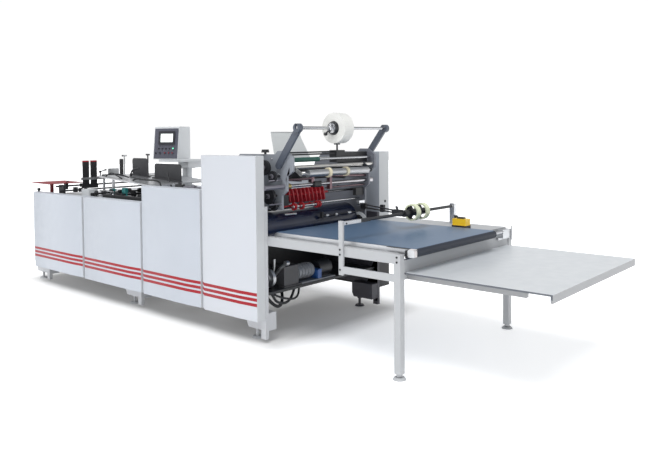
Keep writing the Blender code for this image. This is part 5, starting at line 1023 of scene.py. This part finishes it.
piece("reel_arm_clips", [
    bar((0.28, 0.312), (1.035, 1.062), (0.85, 0.905)),
    bar((0.56, 0.64), (0.8, 0.826), (0.862, 0.908)),
    rod([(0.6, 0.812, 0.905), (0.56, 0.85, 0.925), (0.54, 0.9, 0.915), (0.52, 0.93, 0.88)],
        0.006, 8, 3)])
foot_knob_profile = [(0.008, 0.0), (0.016, 0.004), (0.016, 0.018), (0.01, 0.022)]
piece("bar_foot_knob", [turned(foot_knob_profile, (0.688, 1.455, 0.8), 0)])
print("pieces of the scene's own:", len(made))

# %% [markdown]
# The floor is one plain sheet, large enough to reach past every view. It isn't part of the machine,
# so it rides on no body. Its glow is painted light: it grows with the distance from the covers'
# footprint, so the floor burns out to white beyond the machine and the shadow stays under it. Inside
# the footprint its base colour is darkened, a painted shadow. A faint mottling keeps the rest from
# looking computed.

# %% Floor
FLOOR_SIZE = 60.0
FOOTPRINT_X, FOOTPRINT_Y = (-3.4, 0.05), (0.12, 1.4)
LIT_REACH, LIT_STRENGTH = (-0.1, 0.3), 0.5
MOTTLE_PATCHES, MOTTLE_DARK, MOTTLE_LIGHT = 0.8, (0.855, 0.865, 0.875), (0.875, 0.885, 0.895)
PAINTED_SHADOW_COLOUR = (0.5, 0.49, 0.48)

floor_finish = start_finish("studio_floor", (0.86, 0.87, 0.88), 0.6)
floor_tree, floor_shader, floor_place = floor_finish[1:]
floor_axes = axes_of(floor_tree, floor_place)
beyond = []
for n, span in enumerate((FOOTPRINT_X, FOOTPRINT_Y)):
    from_middle = maths(floor_tree, "SUBTRACT", floor_axes[n], sum(span) / 2 + float(DATUM[n]))
    outside = maths(floor_tree, "SUBTRACT", maths(floor_tree, "ABSOLUTE", from_middle),
                    (span[1] - span[0]) / 2)
    beyond.append(maths(floor_tree, "MAXIMUM", outside, 0.0))
distance = root_of_squares(floor_tree, beyond)
# painted light: the floor's glow grows with the distance from the covers' footprint
floor_shader.inputs["Emission Color"].default_value = (1.0, 1.0, 1.0, 1.0)
floor_tree.links.new(ranged(floor_tree, distance, 0.0, LIT_STRENGTH, *LIT_REACH),
                     floor_shader.inputs["Emission Strength"])
mottle = ranged(floor_tree, cloud(floor_tree, floor_place, MOTTLE_PATCHES), 0.0, 1.0)
mottled = blended(floor_tree, mottle, MOTTLE_DARK, MOTTLE_LIGHT)
# painted shadow: the base colour darkens inside the covers' footprint
painted_shadow_share = ranged(floor_tree, distance, 1.0, 0.0, *LIT_REACH)
floor_tree.links.new(blended(floor_tree, painted_shadow_share, mottled, PAINTED_SHADOW_COLOUR),
                     floor_shader.inputs["Base Color"])
floor_mesh = bpy.data.meshes.new("studio_floor")
half = FLOOR_SIZE / 2
floor_mesh.from_pydata([(-half, -half, 0), (half, -half, 0), (half, half, 0), (-half, half, 0)], [],
                       [(0, 1, 2, 3)])
floor_mesh.materials.append(floor_finish[0])
floor = bpy.data.objects.new("studio_floor", floor_mesh)
bpy.context.scene.collection.objects.link(floor)
print("floor:", FLOOR_SIZE, "m")
